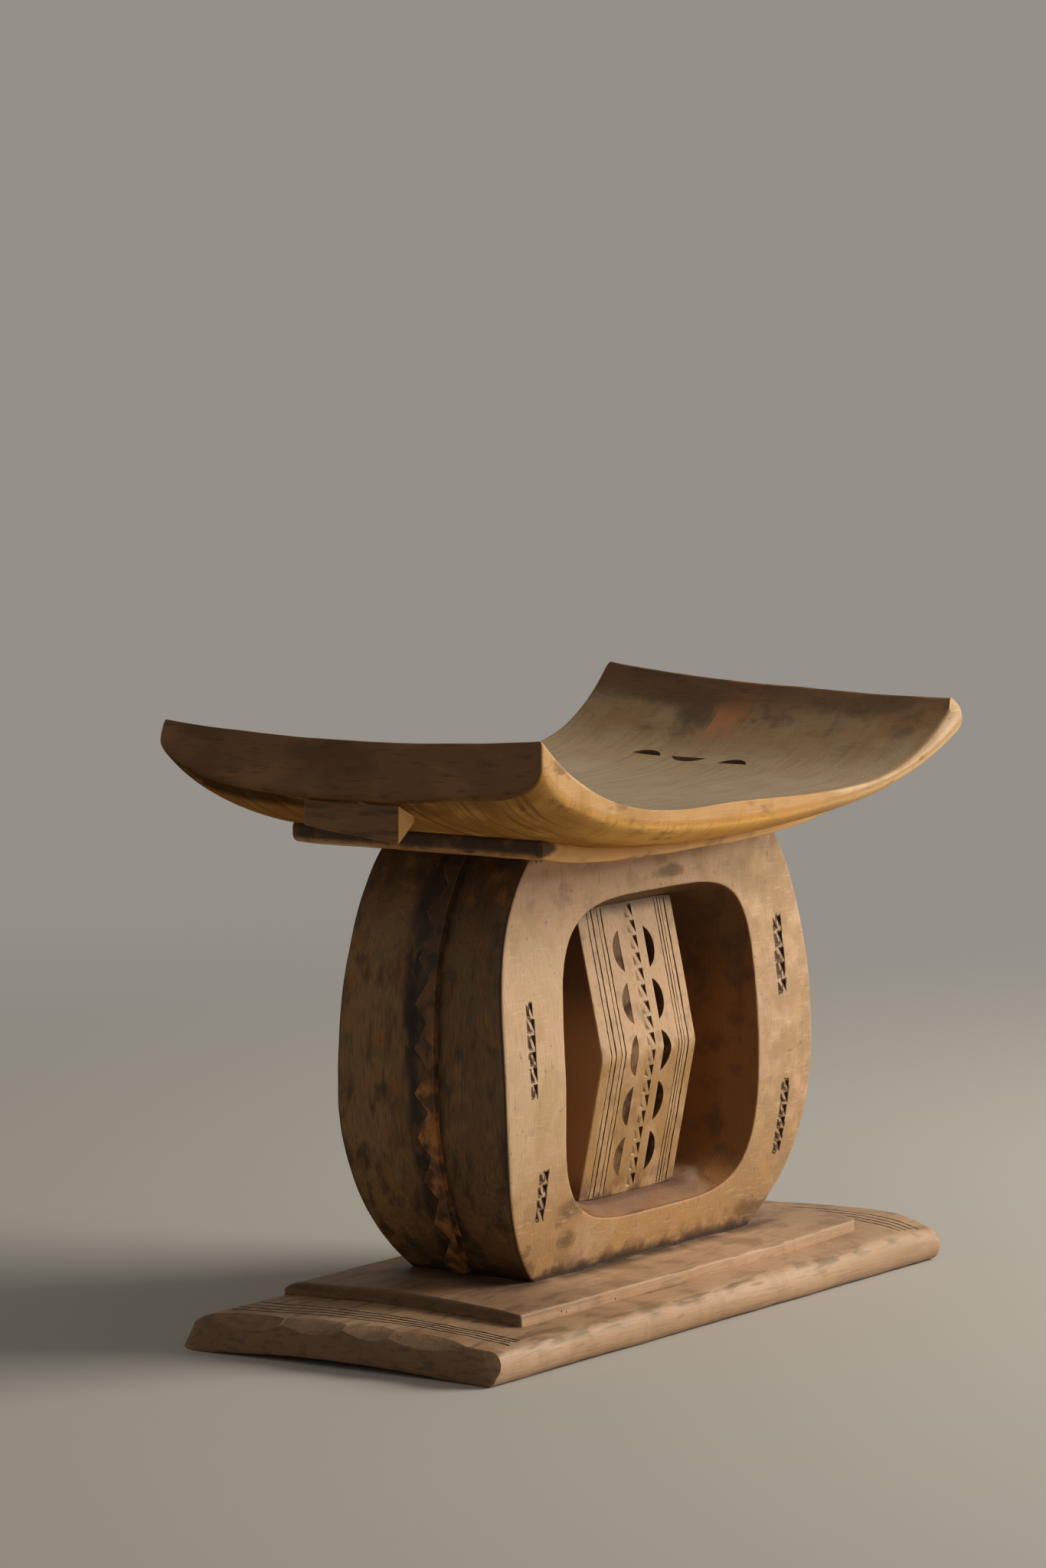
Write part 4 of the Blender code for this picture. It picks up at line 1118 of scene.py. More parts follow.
# Dark spots of grime, the one under the cradle partly painted shade: place, and reach along X, Y and Z
RING_GRIME_AND_SHADE = (
    ((-0.0860, -0.056, 0.0770), (0.015, 0.03, 0.011)),
    ((-0.0840, -0.053, 0.0560), (0.012, 0.03, 0.010)),
    ((-0.1220, -0.050, 0.0450), (0.010, 0.03, 0.013)),
    ((0.0200, -0.058, 0.2760), (0.018, 0.03, 0.005)),
    ((0.1180, -0.050, 0.0480), (0.026, 0.03, 0.009)),
)


def ring_finish():
    wood = Finish("ring_wood_worn", (0.51, 0.325, 0.172))
    zone = wood.attribute("zone")
    fine = wood.mottle(0.0011, UPRIGHT_GRAIN, detail=5.0)
    cross = wood.mottle(0.0013, (0.1, 1.0, 1.0), detail=4.0, shift=3.0)
    smudge = wood.mottle(0.016, shift=2.0, detail=8.0)
    cloud = wood.mottle(0.035, shift=11.0, detail=5.0, uneven=0.7)
    speck = wood.mottle(0.004, detail=6.0, shift=6.0)
    wood.lay_stain_or_light((0.57, 0.34, 0.20), wood.rising(wood.mottle(0.05, uneven=0.6), 0.42, 0.62, 0.7))
    wood.lay_stain_or_light((0.42, 0.26, 0.10), wood.rising(cloud, 0.48, 0.68, 0.65))
    wood.lay_stain_or_light((0.33, 0.20, 0.10), wood.rising(smudge, 0.55, 0.72, 0.4))
    low = wood.rising(wood.z, 0.15, 0.06)
    wood.lay_stain_or_light((0.43, 0.22, 0.07), low, wood.rising(wood.mottle(0.04, shift=9.0), 0.25, 0.55, 0.8))
    left_foot = wood.both(wood.rising(wood.x, -0.055, -0.085), wood.rising(wood.z, 0.12, 0.075))
    wood.lay_stain_or_light((0.37, 0.20, 0.08), left_foot, wood.rising(smudge, 0.36, 0.6, 0.75))
    right = wood.rising(wood.x, 0.03, 0.14)
    wood.lay_stain_or_light((0.34, 0.195, 0.085), right, wood.rising(smudge, 0.3, 0.6, 0.75))
    # Darker towards the top: grime, and painted shade under the cradle.
    high = wood.rising(wood.z, 0.25, 0.288)
    wood.lay_stain_or_light((0.22, 0.14, 0.07), high, wood.rising(smudge, 0.52, 0.68, 0.3))
    for point, size in RING_GRIME_AND_SHADE:
        wood.lay_stain_or_light((0.14, 0.075, 0.028), wood.spot(point, size, smudge, 0.75))
    wood.lay_stain_or_light((0.27, 0.16, 0.07), wood.rising(fine, 0.53, 0.72, 0.42))
    wood.lay_stain_or_light((0.66, 0.47, 0.29), wood.rising(cross, 0.55, 0.74, 0.36))
    wood.lay_stain_or_light((0.15, 0.095, 0.05), wood.rising(speck, 0.64, 0.72, 0.5))

    band = wood.rising(zone, 0.62, 0.4)
    grime = wood.mottle(0.011, (1.0, 1.0, 0.45), shift=8.0, detail=8.0)
    wood.lay_stain_or_light((0.16, 0.078, 0.028), band)
    behind = wood.both(band, wood.rising(wood.y, -0.005, 0.03))
    wood.lay_stain_or_light((0.27, 0.145, 0.05), behind, wood.rising(cloud, 0.36, 0.56, 0.85))
    ahead = wood.both(band, wood.rising(wood.y, -0.012, -0.02))
    wood.lay_stain_or_light((0.145, 0.083, 0.037), ahead, wood.rising(wood.mottle(0.03, shift=3.0), 0.35, 0.6, 0.8))
    rusty = wood.mottle(0.02, shift=4.0, detail=5.0)
    wood.lay_stain_or_light((0.27, 0.105, 0.028), band, wood.rising(rusty, 0.52, 0.66, 0.6))
    green = wood.mottle(0.015, shift=7.0, detail=6.0)
    wood.lay_stain_or_light((0.13, 0.09, 0.03), band, wood.rising(green, 0.54, 0.68, 0.6))
    left_end = wood.rising(wood.x, 0.03, -0.03)
    wood.lay_stain_or_light((0.11, 0.058, 0.024), band, wood.rising(grime, 0.46, 0.72, 0.4))
    wood.lay_stain_or_light((0.05, 0.027, 0.012), band, left_end, wood.rising(grime, 0.5, 0.68, 0.7))
    wood.lay_stain_or_light((0.045, 0.026, 0.014), band, wood.rising(fine, 0.52, 0.68, 0.5))
    wood.lay_stain_or_light((0.33, 0.20, 0.09), band, wood.rising(fine, 0.44, 0.3, 0.3))
    # Painted shadow beside the rib's teeth, as the raised teeth cast it.
    painted_shadow_by_teeth = wood.rising(wood.size_of(wood.y, -0.004), 0.0165, 0.009)
    wood.lay_stain_or_light((0.02, 0.012, 0.007), band, painted_shadow_by_teeth, wood.rising(smudge, 0.32, 0.55, 0.8))
    # Painted shadow, nearly black, in the recess behind the teeth.
    painted_shadow_behind_teeth = wood.both(band, wood.rising(wood.y, 0.0, 0.004), wood.rising(wood.y, 0.0165, 0.0085))
    ragged = wood.both(wood.rising(wood.z, 0.11, 0.2), wood.rising(grime, 0.34, 0.52, 0.85))
    wood.lay_stain_or_light((0.012, 0.008, 0.005), painted_shadow_behind_teeth, ragged)
    band_foot = wood.both(band, wood.rising(wood.z, 0.056, 0.039))
    wood.lay_stain_or_light((0.03, 0.018, 0.01), band_foot, wood.rising(smudge, 0.34, 0.56, 0.8))
    top_of_band = wood.both(band, wood.rising(wood.z, 0.235, 0.285))
    wood.lay_stain_or_light((0.04, 0.024, 0.013), top_of_band, wood.rising(smudge, 0.3, 0.6, 0.75))
    wood.lay_stain_or_light((0.03, 0.018, 0.01), wood.rising(zone, 0.05, 0.2), wood.rising(zone, 0.55, 0.35, 0.8))

    throat = wood.rising(zone, 1.45, 1.8)
    wood.lay_stain_or_light((0.225, 0.09, 0.021), throat)
    wood.lay_stain_or_light((0.075, 0.034, 0.011), throat, wood.rising(smudge, 0.45, 0.66, 0.6))
    wood.lay_stain_or_light((0.06, 0.028, 0.01), throat, wood.rising(wood.z, 0.17, 0.25, 0.6))
    wood.lay_stain_or_light((0.30, 0.15, 0.05), throat, wood.rising(cross, 0.58, 0.76, 0.4))
    left_wall = wood.both(throat, wood.rising(wood.facing_x, 0.3, 0.7), wood.rising(wood.z, 0.235, 0.2))
    wood.lay_stain_or_light((0.33, 0.175, 0.07), left_wall, wood.rising(smudge, 0.3, 0.6, 0.8))
    floor = wood.both(throat, wood.rising(wood.facing_z, 0.86, 0.95))
    wood.lay_stain_or_light((0.38, 0.24, 0.148), floor, wood.rising(smudge, 0.2, 0.5, 0.95))
    wood.lay_stain_or_light((0.19, 0.11, 0.065), floor, wood.rising(cloud, 0.46, 0.62, 0.6))
    ledge = wood.rising(wood.size_of(wood.x, RING_X), 0.066, 0.052)
    wood.lay_stain_or_light((0.12, 0.05, 0.026), floor, ledge, wood.rising(wood.size_of(wood.y), 0.054, 0.04, 0.8))

    foot = wood.rising(wood.z, 0.052, 0.036)
    wood.lay_stain_or_light((0.12, 0.045, 0.02), foot, wood.rising(smudge, 0.46, 0.62, 0.75))
    seam = wood.rising(wood.z, 0.043, 0.0375)
    wood.lay_stain_or_light((0.06, 0.028, 0.014), seam, wood.rising(smudge, 0.3, 0.5, 0.75))
    wood.lay_stain_or_light((0.035, 0.018, 0.01), wood.rising(wood.z, 0.0385, 0.0355, 0.85))
    wood.lay_stain_or_light((0.07, 0.04, 0.022), wood.rising(wood.z, 0.2935, 0.297, 0.7))
    wood.wear((0.66, 0.46, 0.27), (0.06, 0.034, 0.018), 0.5, 0.8)
    # Dark in the cuts: grime, and painted shade, less in the cuts open to the light.
    wood.lay_stain_or_light((0.07, 0.036, 0.018), wood.rising(wood.mark, 0.0, 1.0, 0.85))
    return wood.close(fine, 0.0006, 0.66, 0.5)


def column_finish():
    wood = Finish("column_wood_worn", (0.47, 0.282, 0.14))
    fine = wood.mottle(0.0009, UPRIGHT_GRAIN, detail=5.0)
    smudge = wood.mottle(0.012, shift=4.0, detail=6.0)
    wood.lay_stain_or_light((0.37, 0.20, 0.064), wood.rising(wood.z, 0.172, 0.155))
    wood.lay_stain_or_light((0.54, 0.32, 0.175), wood.rising(wood.mottle(0.02, (1.0, 1.0, 0.5)), 0.45, 0.65, 0.5))
    wood.lay_stain_or_light((0.25, 0.14, 0.055), wood.rising(smudge, 0.52, 0.7, 0.6))
    wood.lay_stain_or_light((0.24, 0.135, 0.058), wood.rising(fine, 0.5, 0.7, 0.6))
    inside = wood.rising(wood.size_of(wood.facing_x), 0.5, 0.8)
    wood.lay_stain_or_light((0.13, 0.062, 0.025), inside)
    wood.lay_stain_or_light((0.36, 0.19, 0.075), inside, wood.rising(wood.z, 0.215, 0.17, 0.9))
    foot = wood.rising(wood.z, 0.092, 0.0735)
    wood.lay_stain_or_light((0.12, 0.05, 0.024), foot, wood.rising(smudge, 0.3, 0.55, 0.85))
    wood.lay_stain_or_light((0.10, 0.055, 0.026), wood.rising(wood.z, 0.247, 0.2545, 0.7))
    wood.wear((0.64, 0.43, 0.22), (0.07, 0.036, 0.016), 0.45, 0.8)
    # Cuts open to the light get a painted highlight; the other cuts are painted dark with grime and painted
    # shade.
    open_cut_highlight = wood.both(wood.rising(wood.mark, 0.1, 0.3), wood.rising(wood.mark, 0.8, 0.5))
    cut = wood.rising(wood.mark, 0.3, 1.0)
    wood.lay_stain_or_light((0.60, 0.40, 0.23), open_cut_highlight, wood.rising(smudge, 0.65, 0.4, 0.6))
    wood.lay_stain_or_light((0.085, 0.045, 0.022), cut, wood.rising(wood.mottle(0.006, detail=4.0), 0.2, 0.5, 0.95))
    return wood.close(fine, 0.0005, 0.66, 0.52)


def rib_finish():
    wood = Finish("rib_wood_rusty", (0.15, 0.07, 0.028))
    fine = wood.mottle(0.0014, (1.0, 1.0, 0.3), detail=4.0)
    low = wood.rising(wood.z, 0.24, 0.12)
    wood.lay_stain_or_light((0.46, 0.17, 0.04), low, wood.rising(wood.mottle(0.014), 0.4, 0.6, 0.85))
    wood.lay_stain_or_light((0.05, 0.028, 0.014), wood.rising(wood.mottle(0.011, shift=3.0, detail=6.0), 0.46, 0.62, 0.85))
    wood.lay_stain_or_light((0.10, 0.07, 0.04), wood.rising(wood.mottle(0.008, shift=9.0, detail=5.0), 0.56, 0.68, 0.6))
    wood.lay_stain_or_light((0.035, 0.02, 0.011), wood.rising(wood.z, 0.2, 0.275, 0.7))
    wood.wear((0.40, 0.20, 0.07), (0.03, 0.017, 0.01), 0.6, 0.9)
    return wood.close(fine, 0.0006, 0.72, 0.55)


# Stains, as on the ring
SEAT_DARK_PATCHES = (
    ((0.2050, 0.047, 0.36), (0.012, 0.018, 0.03)),
    ((0.2150, 0.090, 0.37), (0.010, 0.026, 0.03)),
    ((0.2200, -0.080, 0.37), (0.010, 0.050, 0.03)),
)


def seat_finish():
    wood = Finish("seat_wood_worn", (0.60, 0.285, 0.066))
    fine = wood.mottle(0.0012, LONG_GRAIN, detail=5.0)
    streak = wood.mottle(0.0045, SEAT_GRAIN, detail=6.0, shift=2.0)
    thin = wood.mottle(0.0013, SEAT_GRAIN, detail=5.0, shift=5.0)
    blot = wood.mottle(0.03, shift=8.0, detail=6.0)
    curl = wood.mottle(0.006, (1.0, 0.3, 0.2), turn=(0.0, 0.6, 0.0), detail=4.0, uneven=0.9)
    # Paler towards the left end: painted sheen and fill light on the front side, which gets less light there.
    wood.lay_stain_or_light((0.72, 0.39, 0.12), wood.rising(wood.x, -0.08, -0.2, 0.85))
    bend = wood.rising(wood.x, 0.06, -0.06, 0.55)
    wood.lay_stain_or_light((0.42, 0.19, 0.04), bend, wood.rising(curl, 0.48, 0.66))
    wood.lay_stain_or_light((0.36, 0.165, 0.038), wood.rising(blot, 0.5, 0.68, 0.6))
    wood.lay_stain_or_light((0.42, 0.265, 0.13), wood.rising(wood.x, 0.0, 0.15, 0.85))
    wood.lay_stain_or_light((0.24, 0.11, 0.03), wood.rising(fine, 0.54, 0.74, 0.45))
    grime = wood.mottle(0.012, (0.5, 1.0, 1.0), shift=13.0, detail=8.0)
    wood.lay_stain_or_light((0.12, 0.06, 0.022), wood.rising(grime, 0.6, 0.72, 0.65))
    up_face = wood.rising(wood.facing_z, 0.35, 0.6)
    along_rim = wood.maths("MULTIPLY_ADD", wood.x, -0.01, wood.y)
    from_rim = wood.maths("ADD", along_rim, SEAT_WIDTH_LEFT / 2 - 0.00225)
    from_rim = wood.maths("MULTIPLY_ADD", wood.maths("SUBTRACT", streak, 0.5), 0.006, from_rim)
    top = wood.both(up_face, wood.rising(from_rim, 0.0008, 0.0042))
    wood.lay_stain_or_light((0.335, 0.235, 0.135), top)
    wood.lay_stain_or_light((0.39, 0.25, 0.125), top, wood.rising(wood.size_of(wood.x), 0.1, 0.16, 0.7))
    wood.lay_stain_or_light((0.22, 0.145, 0.075), top, wood.rising(streak, 0.48, 0.7, 0.45))
    wood.lay_stain_or_light((0.42, 0.31, 0.185), top, wood.rising(streak, 0.46, 0.3, 0.35))
    wood.lay_stain_or_light((0.18, 0.115, 0.058), top, wood.rising(thin, 0.52, 0.72, 0.5))
    wood.lay_stain_or_light((0.40, 0.29, 0.175), top, wood.rising(blot, 0.5, 0.36, 0.4))
    upturned = wood.both(top, wood.rising(wood.size_of(wood.x), 0.155, 0.205))
    wood.lay_stain_or_light((0.33, 0.165, 0.058), upturned, wood.rising(blot, 0.28, 0.55, 0.85))
    rubbed = wood.mottle(0.012, (0.4, 0.5, 0.4), shift=4.0, detail=8.0)
    wood.lay_stain_or_light((0.15, 0.085, 0.035), upturned, wood.rising(rubbed, 0.5, 0.66, 0.65))
    patchy = wood.mottle(0.02, (1.0, 0.6, 1.0), shift=21.0, detail=8.0, uneven=0.5)
    wood.lay_stain_or_light((0.40, 0.25, 0.12), upturned, wood.rising(patchy, 0.5, 0.38, 0.6))
    wood.lay_stain_or_light((0.12, 0.068, 0.03), upturned, wood.rising(patchy, 0.54, 0.68, 0.6))
    scratch = wood.mottle(0.0011, (1.0, 0.05, 1.0), shift=17.0, detail=4.0)
    right = wood.both(top, wood.rising(wood.x, 0.1, 0.16))
    wood.lay_stain_or_light((0.44, 0.31, 0.18), right, wood.rising(scratch, 0.6, 0.76, 0.5))
    wood.lay_stain_or_light((0.16, 0.095, 0.045), right, wood.rising(scratch, 0.42, 0.28, 0.45))
    for point, size in SEAT_DARK_PATCHES:
        wood.lay_stain_or_light((0.085, 0.06, 0.026), top, wood.spot(point, size, blot, 0.65))
    orange = wood.spot((0.2155, 0.022, 0.37), (0.05, 0.0165, 0.04), streak, 0.85)
    wood.lay_stain_or_light((0.52, 0.20, 0.07), top, orange)
    below = wood.rising(wood.facing_z, -0.45, -0.8)
    wood.lay_stain_or_light((0.36, 0.16, 0.04), below, wood.rising(blot, 0.25, 0.55, 0.85))
    wood.lay_stain_or_light((0.12, 0.058, 0.02), below, wood.rising(streak, 0.5, 0.66, 0.6))
    front = wood.rising(wood.facing_y, -0.1, -0.3)
    # The front side's downward faces are painted lighter: painted fill light, which evens out the shade under
    # the curve.
    painted_fill_faces = wood.both(front, wood.rising(wood.facing_z, -0.15, -0.6))
    fill_light_span = wood.both(wood.rising(wood.x, 0.12, -0.02), wood.rising(wood.x, -0.225, -0.12, 0.8))
    wood.lay_stain_or_light((0.86, 0.48, 0.14), painted_fill_faces, fill_light_span)
    wood.lay_stain_or_light((0.80, 0.52, 0.25), painted_fill_faces, wood.rising(wood.x, 0.0, 0.14, 0.7))
    # The front side's lit upper faces are painted darker: painted shade, which evens out the light across the
    # curve.
    lit = wood.both(front, wood.rising(wood.facing_z, -0.45, -0.05))
    wood.lay_stain_or_light((0.40, 0.205, 0.07), lit, wood.rising(wood.x, 0.16, 0.02, 0.5))
    wood.lay_stain_or_light((0.52, 0.25, 0.06), front, bend, wood.rising(curl, 0.48, 0.68))
    brow = wood.both(lit, wood.rising(from_rim, 0.004, 0.0005), wood.rising(blot, 0.7, 0.4))
    wood.lay_stain_or_light((0.56, 0.38, 0.20), brow, wood.rising(wood.facing_z, -0.1, 0.2, 0.7))
    wood.lay_stain_or_light((0.20, 0.09, 0.025), front, wood.rising(grime, 0.58, 0.7, 0.6))
    wood.wear((0.60, 0.42, 0.23), (0.05, 0.028, 0.014), 0.5, 0.85)
    sideways = wood.size_of(wood.facing_x)
    far_out = wood.rising(wood.size_of(wood.x), 0.2, 0.215)
    end = wood.both(wood.rising(sideways, 0.55, 0.8), far_out)
    wood.lay_stain_or_light((0.185, 0.086, 0.034), end)
    brown = wood.mottle(0.02, (1.0, 0.5, 1.0), shift=3.0, detail=6.0)
    wood.lay_stain_or_light((0.27, 0.13, 0.05), end, wood.rising(brown, 0.48, 0.66, 0.6))
    dark = wood.mottle(0.03, (1.0, 0.35, 1.0), detail=8.0)
    wood.lay_stain_or_light((0.065, 0.036, 0.018), end, wood.rising(dark, 0.48, 0.68, 0.5))
    end_grain = wood.mottle(0.002, (1.0, 0.12, 1.0), detail=5.0)
    wood.lay_stain_or_light((0.05, 0.028, 0.014), end, wood.rising(end_grain, 0.53, 0.7, 0.5))
    turning = wood.both(wood.rising(sideways, 0.3, 0.5), wood.rising(sideways, 0.85, 0.65))
    lower_edge = wood.both(turning, wood.rising(wood.facing_z, -0.1, -0.3), far_out)
    behind_front = wood.rising(wood.y, -0.09, -0.03)
    wood.lay_stain_or_light((0.035, 0.02, 0.01), lower_edge, behind_front, wood.rising(blot, 0.3, 0.5, 0.85))
    upper_edge = wood.both(wood.rising(wood.edge, 0.52, 0.58, 0.6), wood.rising(wood.facing_z, 0.2, 0.5))
    wood.lay_stain_or_light((0.42, 0.27, 0.14), upper_edge, wood.rising(blot, 0.65, 0.45))
    # Dark in the cuts: grime, and painted shade, less in the middle notches.
    wood.lay_stain_or_light((0.07, 0.04, 0.02), wood.rising(wood.mark, 0.0, 1.0, 0.75))
    wood.lay_stain_or_light((0.70, 0.45, 0.23), wood.rising(wood.mark, 0.0, -1.0, 0.9))
    return wood.close(fine, 0.0004, 0.62, 0.48, wood.rising(wood.facing_z, -0.45, 0.1, 0.25))


def under_seat_finish():
    wood = Finish("cradle_wood_worn", (0.58, 0.28, 0.085))
    fine = wood.mottle(0.0012, LONG_GRAIN, detail=5.0)
    across = wood.mottle(0.004, (1.0, 0.12, 1.0), detail=5.0, shift=2.0)
    grime = wood.mottle(0.014, (0.5, 1.0, 1.0), shift=4.0, detail=8.0)
    wood.lay_stain_or_light((0.70, 0.40, 0.15), wood.rising(wood.mottle(0.02, (0.4, 1.0, 1.0)), 0.45, 0.65, 0.6))
    wood.lay_stain_or_light((0.18, 0.085, 0.028), wood.rising(grime, 0.54, 0.7, 0.6))
    wood.lay_stain_or_light((0.25, 0.12, 0.035), wood.rising(fine, 0.54, 0.72, 0.5))
    front = wood.rising(wood.facing_y, -0.25, -0.6)
    wood.lay_stain_or_light((0.90, 0.50, 0.17), front, wood.rising(grime, 0.7, 0.5, 0.85))
    end = wood.rising(wood.size_of(wood.facing_x), 0.5, 0.8)
    wood.lay_stain_or_light((0.19, 0.086, 0.03), end)
    wood.lay_stain_or_light((0.06, 0.032, 0.015), end, wood.rising(across, 0.48, 0.64, 0.7))
    wood.lay_stain_or_light((0.28, 0.15, 0.06), end, wood.rising(across, 0.46, 0.32, 0.5))
    plate = wood.rising(wood.size_of(wood.x), 0.18, 0.17)
    upper = wood.rising(wood.z, 0.3035, 0.3075)
    wood.lay_stain_or_light((0.045, 0.025, 0.012), end, plate, upper, wood.rising(grime, 0.3, 0.5, 0.85))
    # The lower part of the plate's ends is painted pale: painted bounce light from the floor.
    lower = wood.rising(wood.z, 0.3065, 0.3035)
    wood.lay_stain_or_light((0.62, 0.32, 0.11), end, plate, lower, wood.rising(grime, 0.68, 0.45, 0.8))
    wood.lay_stain_or_light((0.05, 0.028, 0.013), wood.spot((-0.157, -0.094, 0.3095), (0.015, 0.012, 0.0065), grime, 0.9))
    wood.wear((0.66, 0.40, 0.16), (0.035, 0.02, 0.011), 0.5, 0.85)
    return wood.close(fine, 0.0004, 0.6, 0.45)


def base_finish():
    wood = Finish("base_wood_worn", (0.43, 0.255, 0.135))
    fine = wood.mottle(0.0014, LONG_GRAIN, detail=5.0)
    dash = wood.mottle(0.007, (0.25, 1.0, 1.0), shift=3.0, detail=6.0)
    blot = wood.mottle(0.03, shift=5.0, detail=6.0)
    wood.lay_stain_or_light((0.51, 0.315, 0.185), wood.rising(wood.mottle(0.045, (0.6, 1.0, 1.0)), 0.42, 0.62, 0.7))
    wood.lay_stain_or_light((0.24, 0.145, 0.06), wood.rising(dash, 0.56, 0.7, 0.6))
    bands = wood.mottle(0.012, (1.0, 0.2, 0.2), shift=7.0)
    wood.lay_stain_or_light((0.34, 0.195, 0.10), wood.rising(bands, 0.5, 0.65, 0.4))
    wood.lay_stain_or_light((0.26, 0.15, 0.075), wood.rising(fine, 0.52, 0.72, 0.5))
    wood.lay_stain_or_light((0.34, 0.21, 0.115), wood.rising(wood.x, 0.05, 0.2, 0.5))
    shoulder = wood.both(wood.rising(wood.facing_z, 0.35, 0.6), wood.rising(wood.facing_y, -0.15, -0.4))
    wood.lay_stain_or_light((0.17, 0.11, 0.04), shoulder, wood.rising(dash, 0.46, 0.6, 0.75))
    top = wood.rising(wood.facing_z, 0.6, 0.85)
    wood.lay_stain_or_light((0.20, 0.12, 0.06), top, wood.rising(blot, 0.5, 0.64, 0.55))
    # The left part of the tops is darker: partly grime, partly painted shadow of the ring. It is darkest on
    # the step and lightened again on the slab.
    left = wood.both(top, wood.rising(wood.x, -0.05, -0.16))
    wood.lay_stain_or_light((0.25, 0.135, 0.066), left, wood.rising(blot, 0.15, 0.5, 0.85))
    on_step = wood.rising(wood.z, 0.027, 0.029)
    wood.lay_stain_or_light((0.17, 0.095, 0.048), on_step, wood.rising(wood.x, -0.06, -0.15, 0.45))
    on_slab = wood.rising(wood.z, 0.029, 0.027)
    wood.lay_stain_or_light((0.36, 0.215, 0.11), left, on_slab, wood.rising(blot, 0.65, 0.4, 0.6))
    wood.lay_stain_or_light((0.11, 0.06, 0.03), left, wood.rising(dash, 0.5, 0.64, 0.6))
    under_ring = wood.rising(wood.size_of(wood.x, RING_X), 0.155, 0.13)
    seam = wood.both(top, wood.rising(wood.size_of(wood.y), 0.062, 0.05), under_ring)
    wood.lay_stain_or_light((0.075, 0.04, 0.022), seam, wood.rising(blot, 0.25, 0.55, 0.85))
    end = wood.rising(wood.size_of(wood.facing_x), 0.2, 0.42)
    wood.lay_stain_or_light((0.19, 0.105, 0.05), end, wood.rising(blot, 0.1, 0.4, 0.95))
    wood.lay_stain_or_light((0.12, 0.066, 0.03), end, on_step, wood.rising(blot, 0.2, 0.6, 0.7))
    end_grain = wood.mottle(0.003, (1.0, 0.3, 1.0), detail=6.0)
    wood.lay_stain_or_light((0.09, 0.05, 0.025), end, wood.rising(end_grain, 0.48, 0.66, 0.65))
    green = wood.mottle(0.014, shift=9.0, detail=6.0)
    wood.lay_stain_or_light((0.13, 0.08, 0.03), end, wood.rising(green, 0.5, 0.66, 0.6))
    wood.wear((0.60, 0.41, 0.25), (0.06, 0.032, 0.018), 0.45, 0.8)
    # Dark in the cuts: grime, and painted shade, less in the grooves at the right end.
    wood.lay_stain_or_light((0.05, 0.02, 0.011), wood.rising(wood.mark, 0.0, 1.0, 0.92))
    return wood.close(fine, 0.0006, 0.68, 0.52)


def peg_finish():
    wood = Finish("peg_wood_whittled", (0.45, 0.33, 0.20))
    fine = wood.mottle(0.0008, UPRIGHT_GRAIN, detail=3.0)
    wood.lay_stain_or_light((0.30, 0.20, 0.11), wood.rising(fine, 0.45, 0.7, 0.7))
    return wood.close(fine, 0.0003, 0.75, 0.6)


# Studio


CAMERA_PLACE = (-2.6809105, -2.0056388, 0.6725689)
CAMERA_YAW = 0.9192915
CAMERA_PITCH = -0.1021990
CAMERA_ROLL = -0.0117735
SENSOR = 36.0
FOCAL_PIXELS = 7000
IMAGE_HEIGHT = 2048


def add_camera():
    """The camera fitted to the stool's straight edges and corners."""
    yaw, pitch, roll = CAMERA_YAW, CAMERA_PITCH, CAMERA_ROLL
    ahead = Vector((math.sin(yaw) * math.cos(pitch), math.cos(yaw) * math.cos(pitch), math.sin(pitch)))
    level = Vector((math.cos(yaw), -math.sin(yaw), 0.0))
    above = level.cross(ahead)
    right = math.cos(roll) * level + math.sin(roll) * above
    up = -math.sin(roll) * level + math.cos(roll) * above
    lens = bpy.data.cameras.new("camera")
    lens.sensor_width = SENSOR
    lens.lens = FOCAL_PIXELS / IMAGE_HEIGHT * SENSOR
    camera = bpy.data.objects.new("camera", lens)
    camera.matrix_world = surface_frame(right, up, -ahead, CAMERA_PLACE)
    bpy.context.scene.collection.objects.link(camera)
    bpy.context.scene.camera = camera


LIT_POINT = Vector((0.0, 0.0, 0.18))


def add_softbox(name, direction, distance, size, power, colour):
    light = bpy.data.lights.new(name, "AREA")
    light.shape = "SQUARE"
    light.size = size
    light.energy = power
    light.color = colour
    softbox = bpy.data.objects.new(name, light)
    towards = Vector(direction).normalized()
    softbox.location = LIT_POINT + towards * distance
    softbox.rotation_euler = towards.to_track_quat("Z", "Y").to_euler()
    bpy.context.scene.collection.objects.link(softbox)


BACKDROP = (0.30, 0.278, 0.25)
FLOOR_COLOUR = (0.43, 0.395, 0.34)
FLOOR_RADIUS = 30.0
FLOOR_FADE = (0.55, 2.2)  # the floor turns into the backdrop between these distances


def seen_directly(tree):
    """1 for rays from the camera or by way of gloss, 0 for rays that light the stool."""
    path = add_node(tree, "ShaderNodeLightPath", {}).outputs
    seen = path["Is Camera Ray"]
    for ray in ("Is Glossy Ray", "Is Transmission Ray"):
        seen = add_node(tree, "ShaderNodeMath", {0: seen, 1: path[ray]}, operation="MAXIMUM").outputs[0]
    return seen


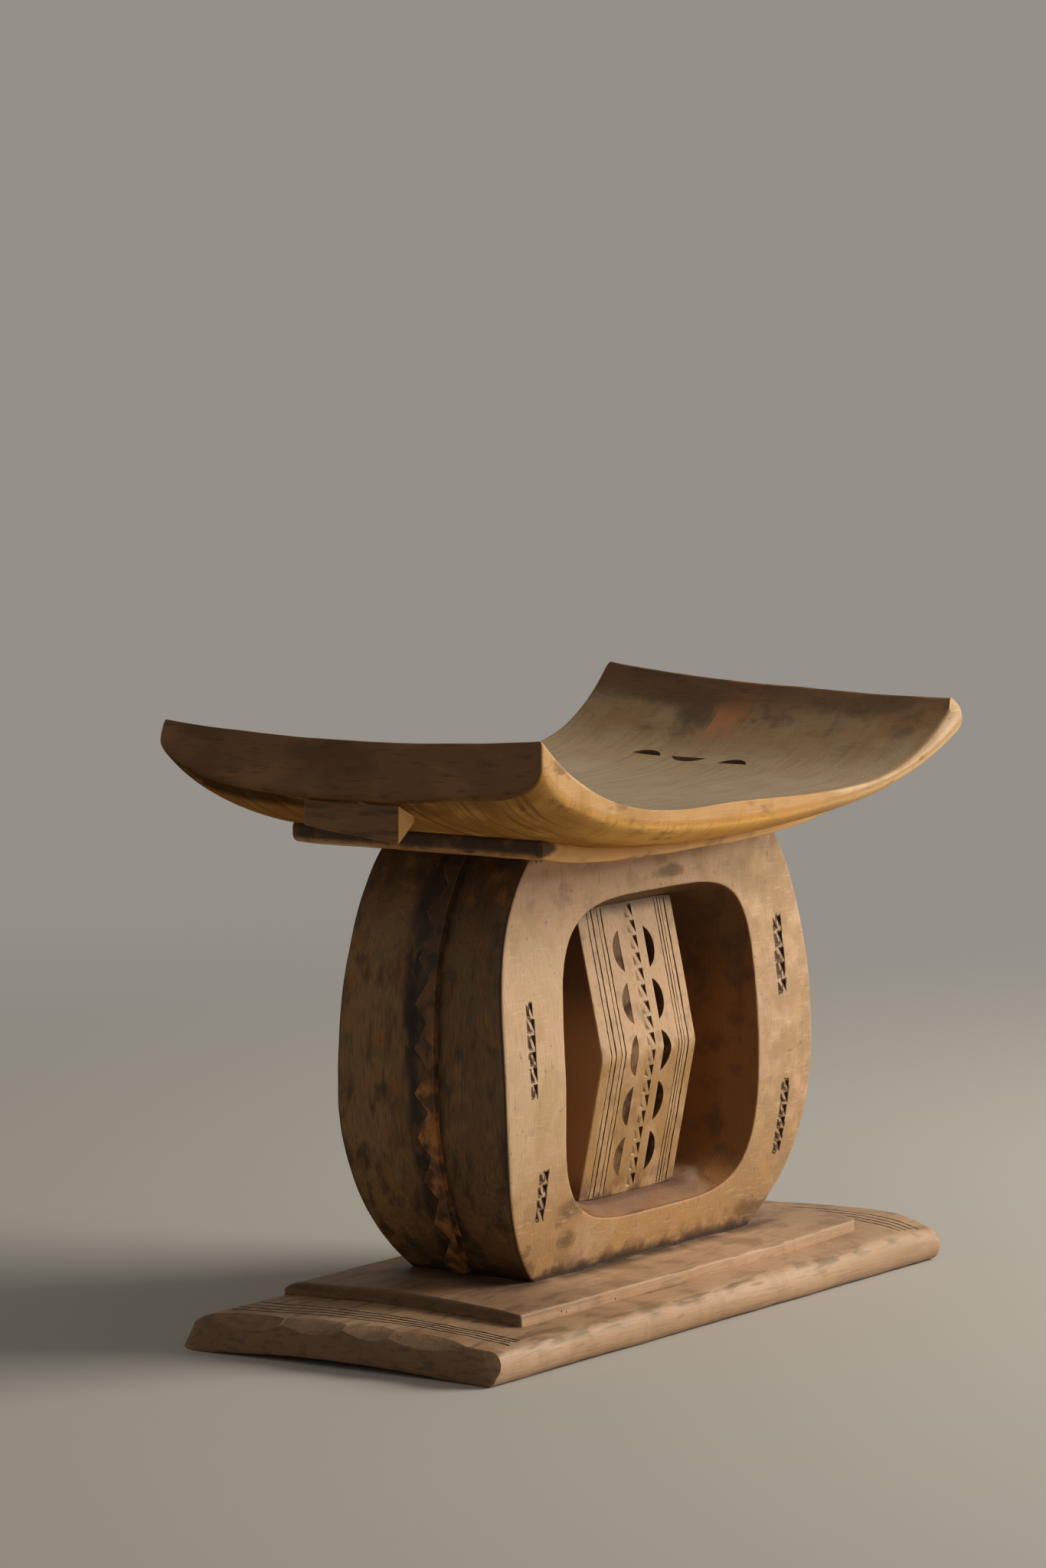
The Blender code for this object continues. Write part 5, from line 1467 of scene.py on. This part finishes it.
def light_world(level, colour):
    world = bpy.data.worlds.new("studio")
    bpy.context.scene.world = world
    world.use_nodes = True
    tree = world.node_tree
    background = tree.nodes["Background"]
    background.inputs["Color"].default_value = (*(level * part for part in colour), 1.0)
    shown = add_node(tree, "ShaderNodeBackground", {"Color": (*BACKDROP, 1.0)})
    inputs = {0: seen_directly(tree), 1: background.outputs[0], 2: shown.outputs[0]}
    mix = add_node(tree, "ShaderNodeMixShader", inputs)
    tree.links.new(mix.outputs[0], tree.nodes["World Output"].inputs[0])


def lay_floor():
    """A pale floor that fades into the backdrop well away from the stool."""
    bpy.ops.mesh.primitive_circle_add(vertices=96, radius=FLOOR_RADIUS, fill_type="NGON")
    floor = bpy.context.object
    floor.name = "studio_floor"
    material = bpy.data.materials.new("pale_floor")
    material.use_nodes = True
    tree = material.node_tree
    shader = tree.nodes["Principled BSDF"]
    shader.inputs["Base Color"].default_value = (*FLOOR_COLOUR, 1.0)
    shader.inputs["Roughness"].default_value = 0.8
    shader.inputs["Specular IOR Level"].default_value = 0.2
    place = add_node(tree, "ShaderNodeTexCoord", {}).outputs["Object"]
    reach = add_node(tree, "ShaderNodeVectorMath", {0: place}, operation="LENGTH").outputs["Value"]
    near, far = FLOOR_FADE
    inputs = {"Value": reach, "From Min": near, "From Max": far}
    fade = add_node(tree, "ShaderNodeMapRange", inputs, interpolation_type="SMOOTHSTEP").outputs[0]
    inputs = {0: fade, 1: seen_directly(tree)}
    seen = add_node(tree, "ShaderNodeMath", inputs, operation="MULTIPLY").outputs[0]
    glow = add_node(tree, "ShaderNodeEmission", {"Color": (*BACKDROP, 1.0)}).outputs[0]
    mix = add_node(tree, "ShaderNodeMixShader", {0: seen, 1: shader.outputs[0], 2: glow})
    tree.links.new(mix.outputs[0], tree.nodes["Material Output"].inputs[0])
    floor.data.materials.append(material)


def build():
    base = base_finish()
    under_seat = under_seat_finish()
    carve_slab(base)
    carve_step(base)
    carve_ring(ring_finish())
    carve_column(column_finish())
    carve_ribs(rib_finish())
    carve_seat(seat_finish())
    carve_cradle(under_seat)
    carve_lugs(under_seat)
    pegs = peg_finish()
    for name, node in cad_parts.items():
        if "peg" in name:
            node.data.materials.clear()
            node.data.materials.append(pegs)


build()
add_camera()
add_softbox("key_softbox", (0.62, -0.66, 0.46), 2.6, 1.3, 88.0, (1.0, 0.985, 0.96))
light_world(0.26, (1.0, 0.98, 0.95))
lay_floor()
bpy.context.scene.view_settings.view_transform = "Standard"
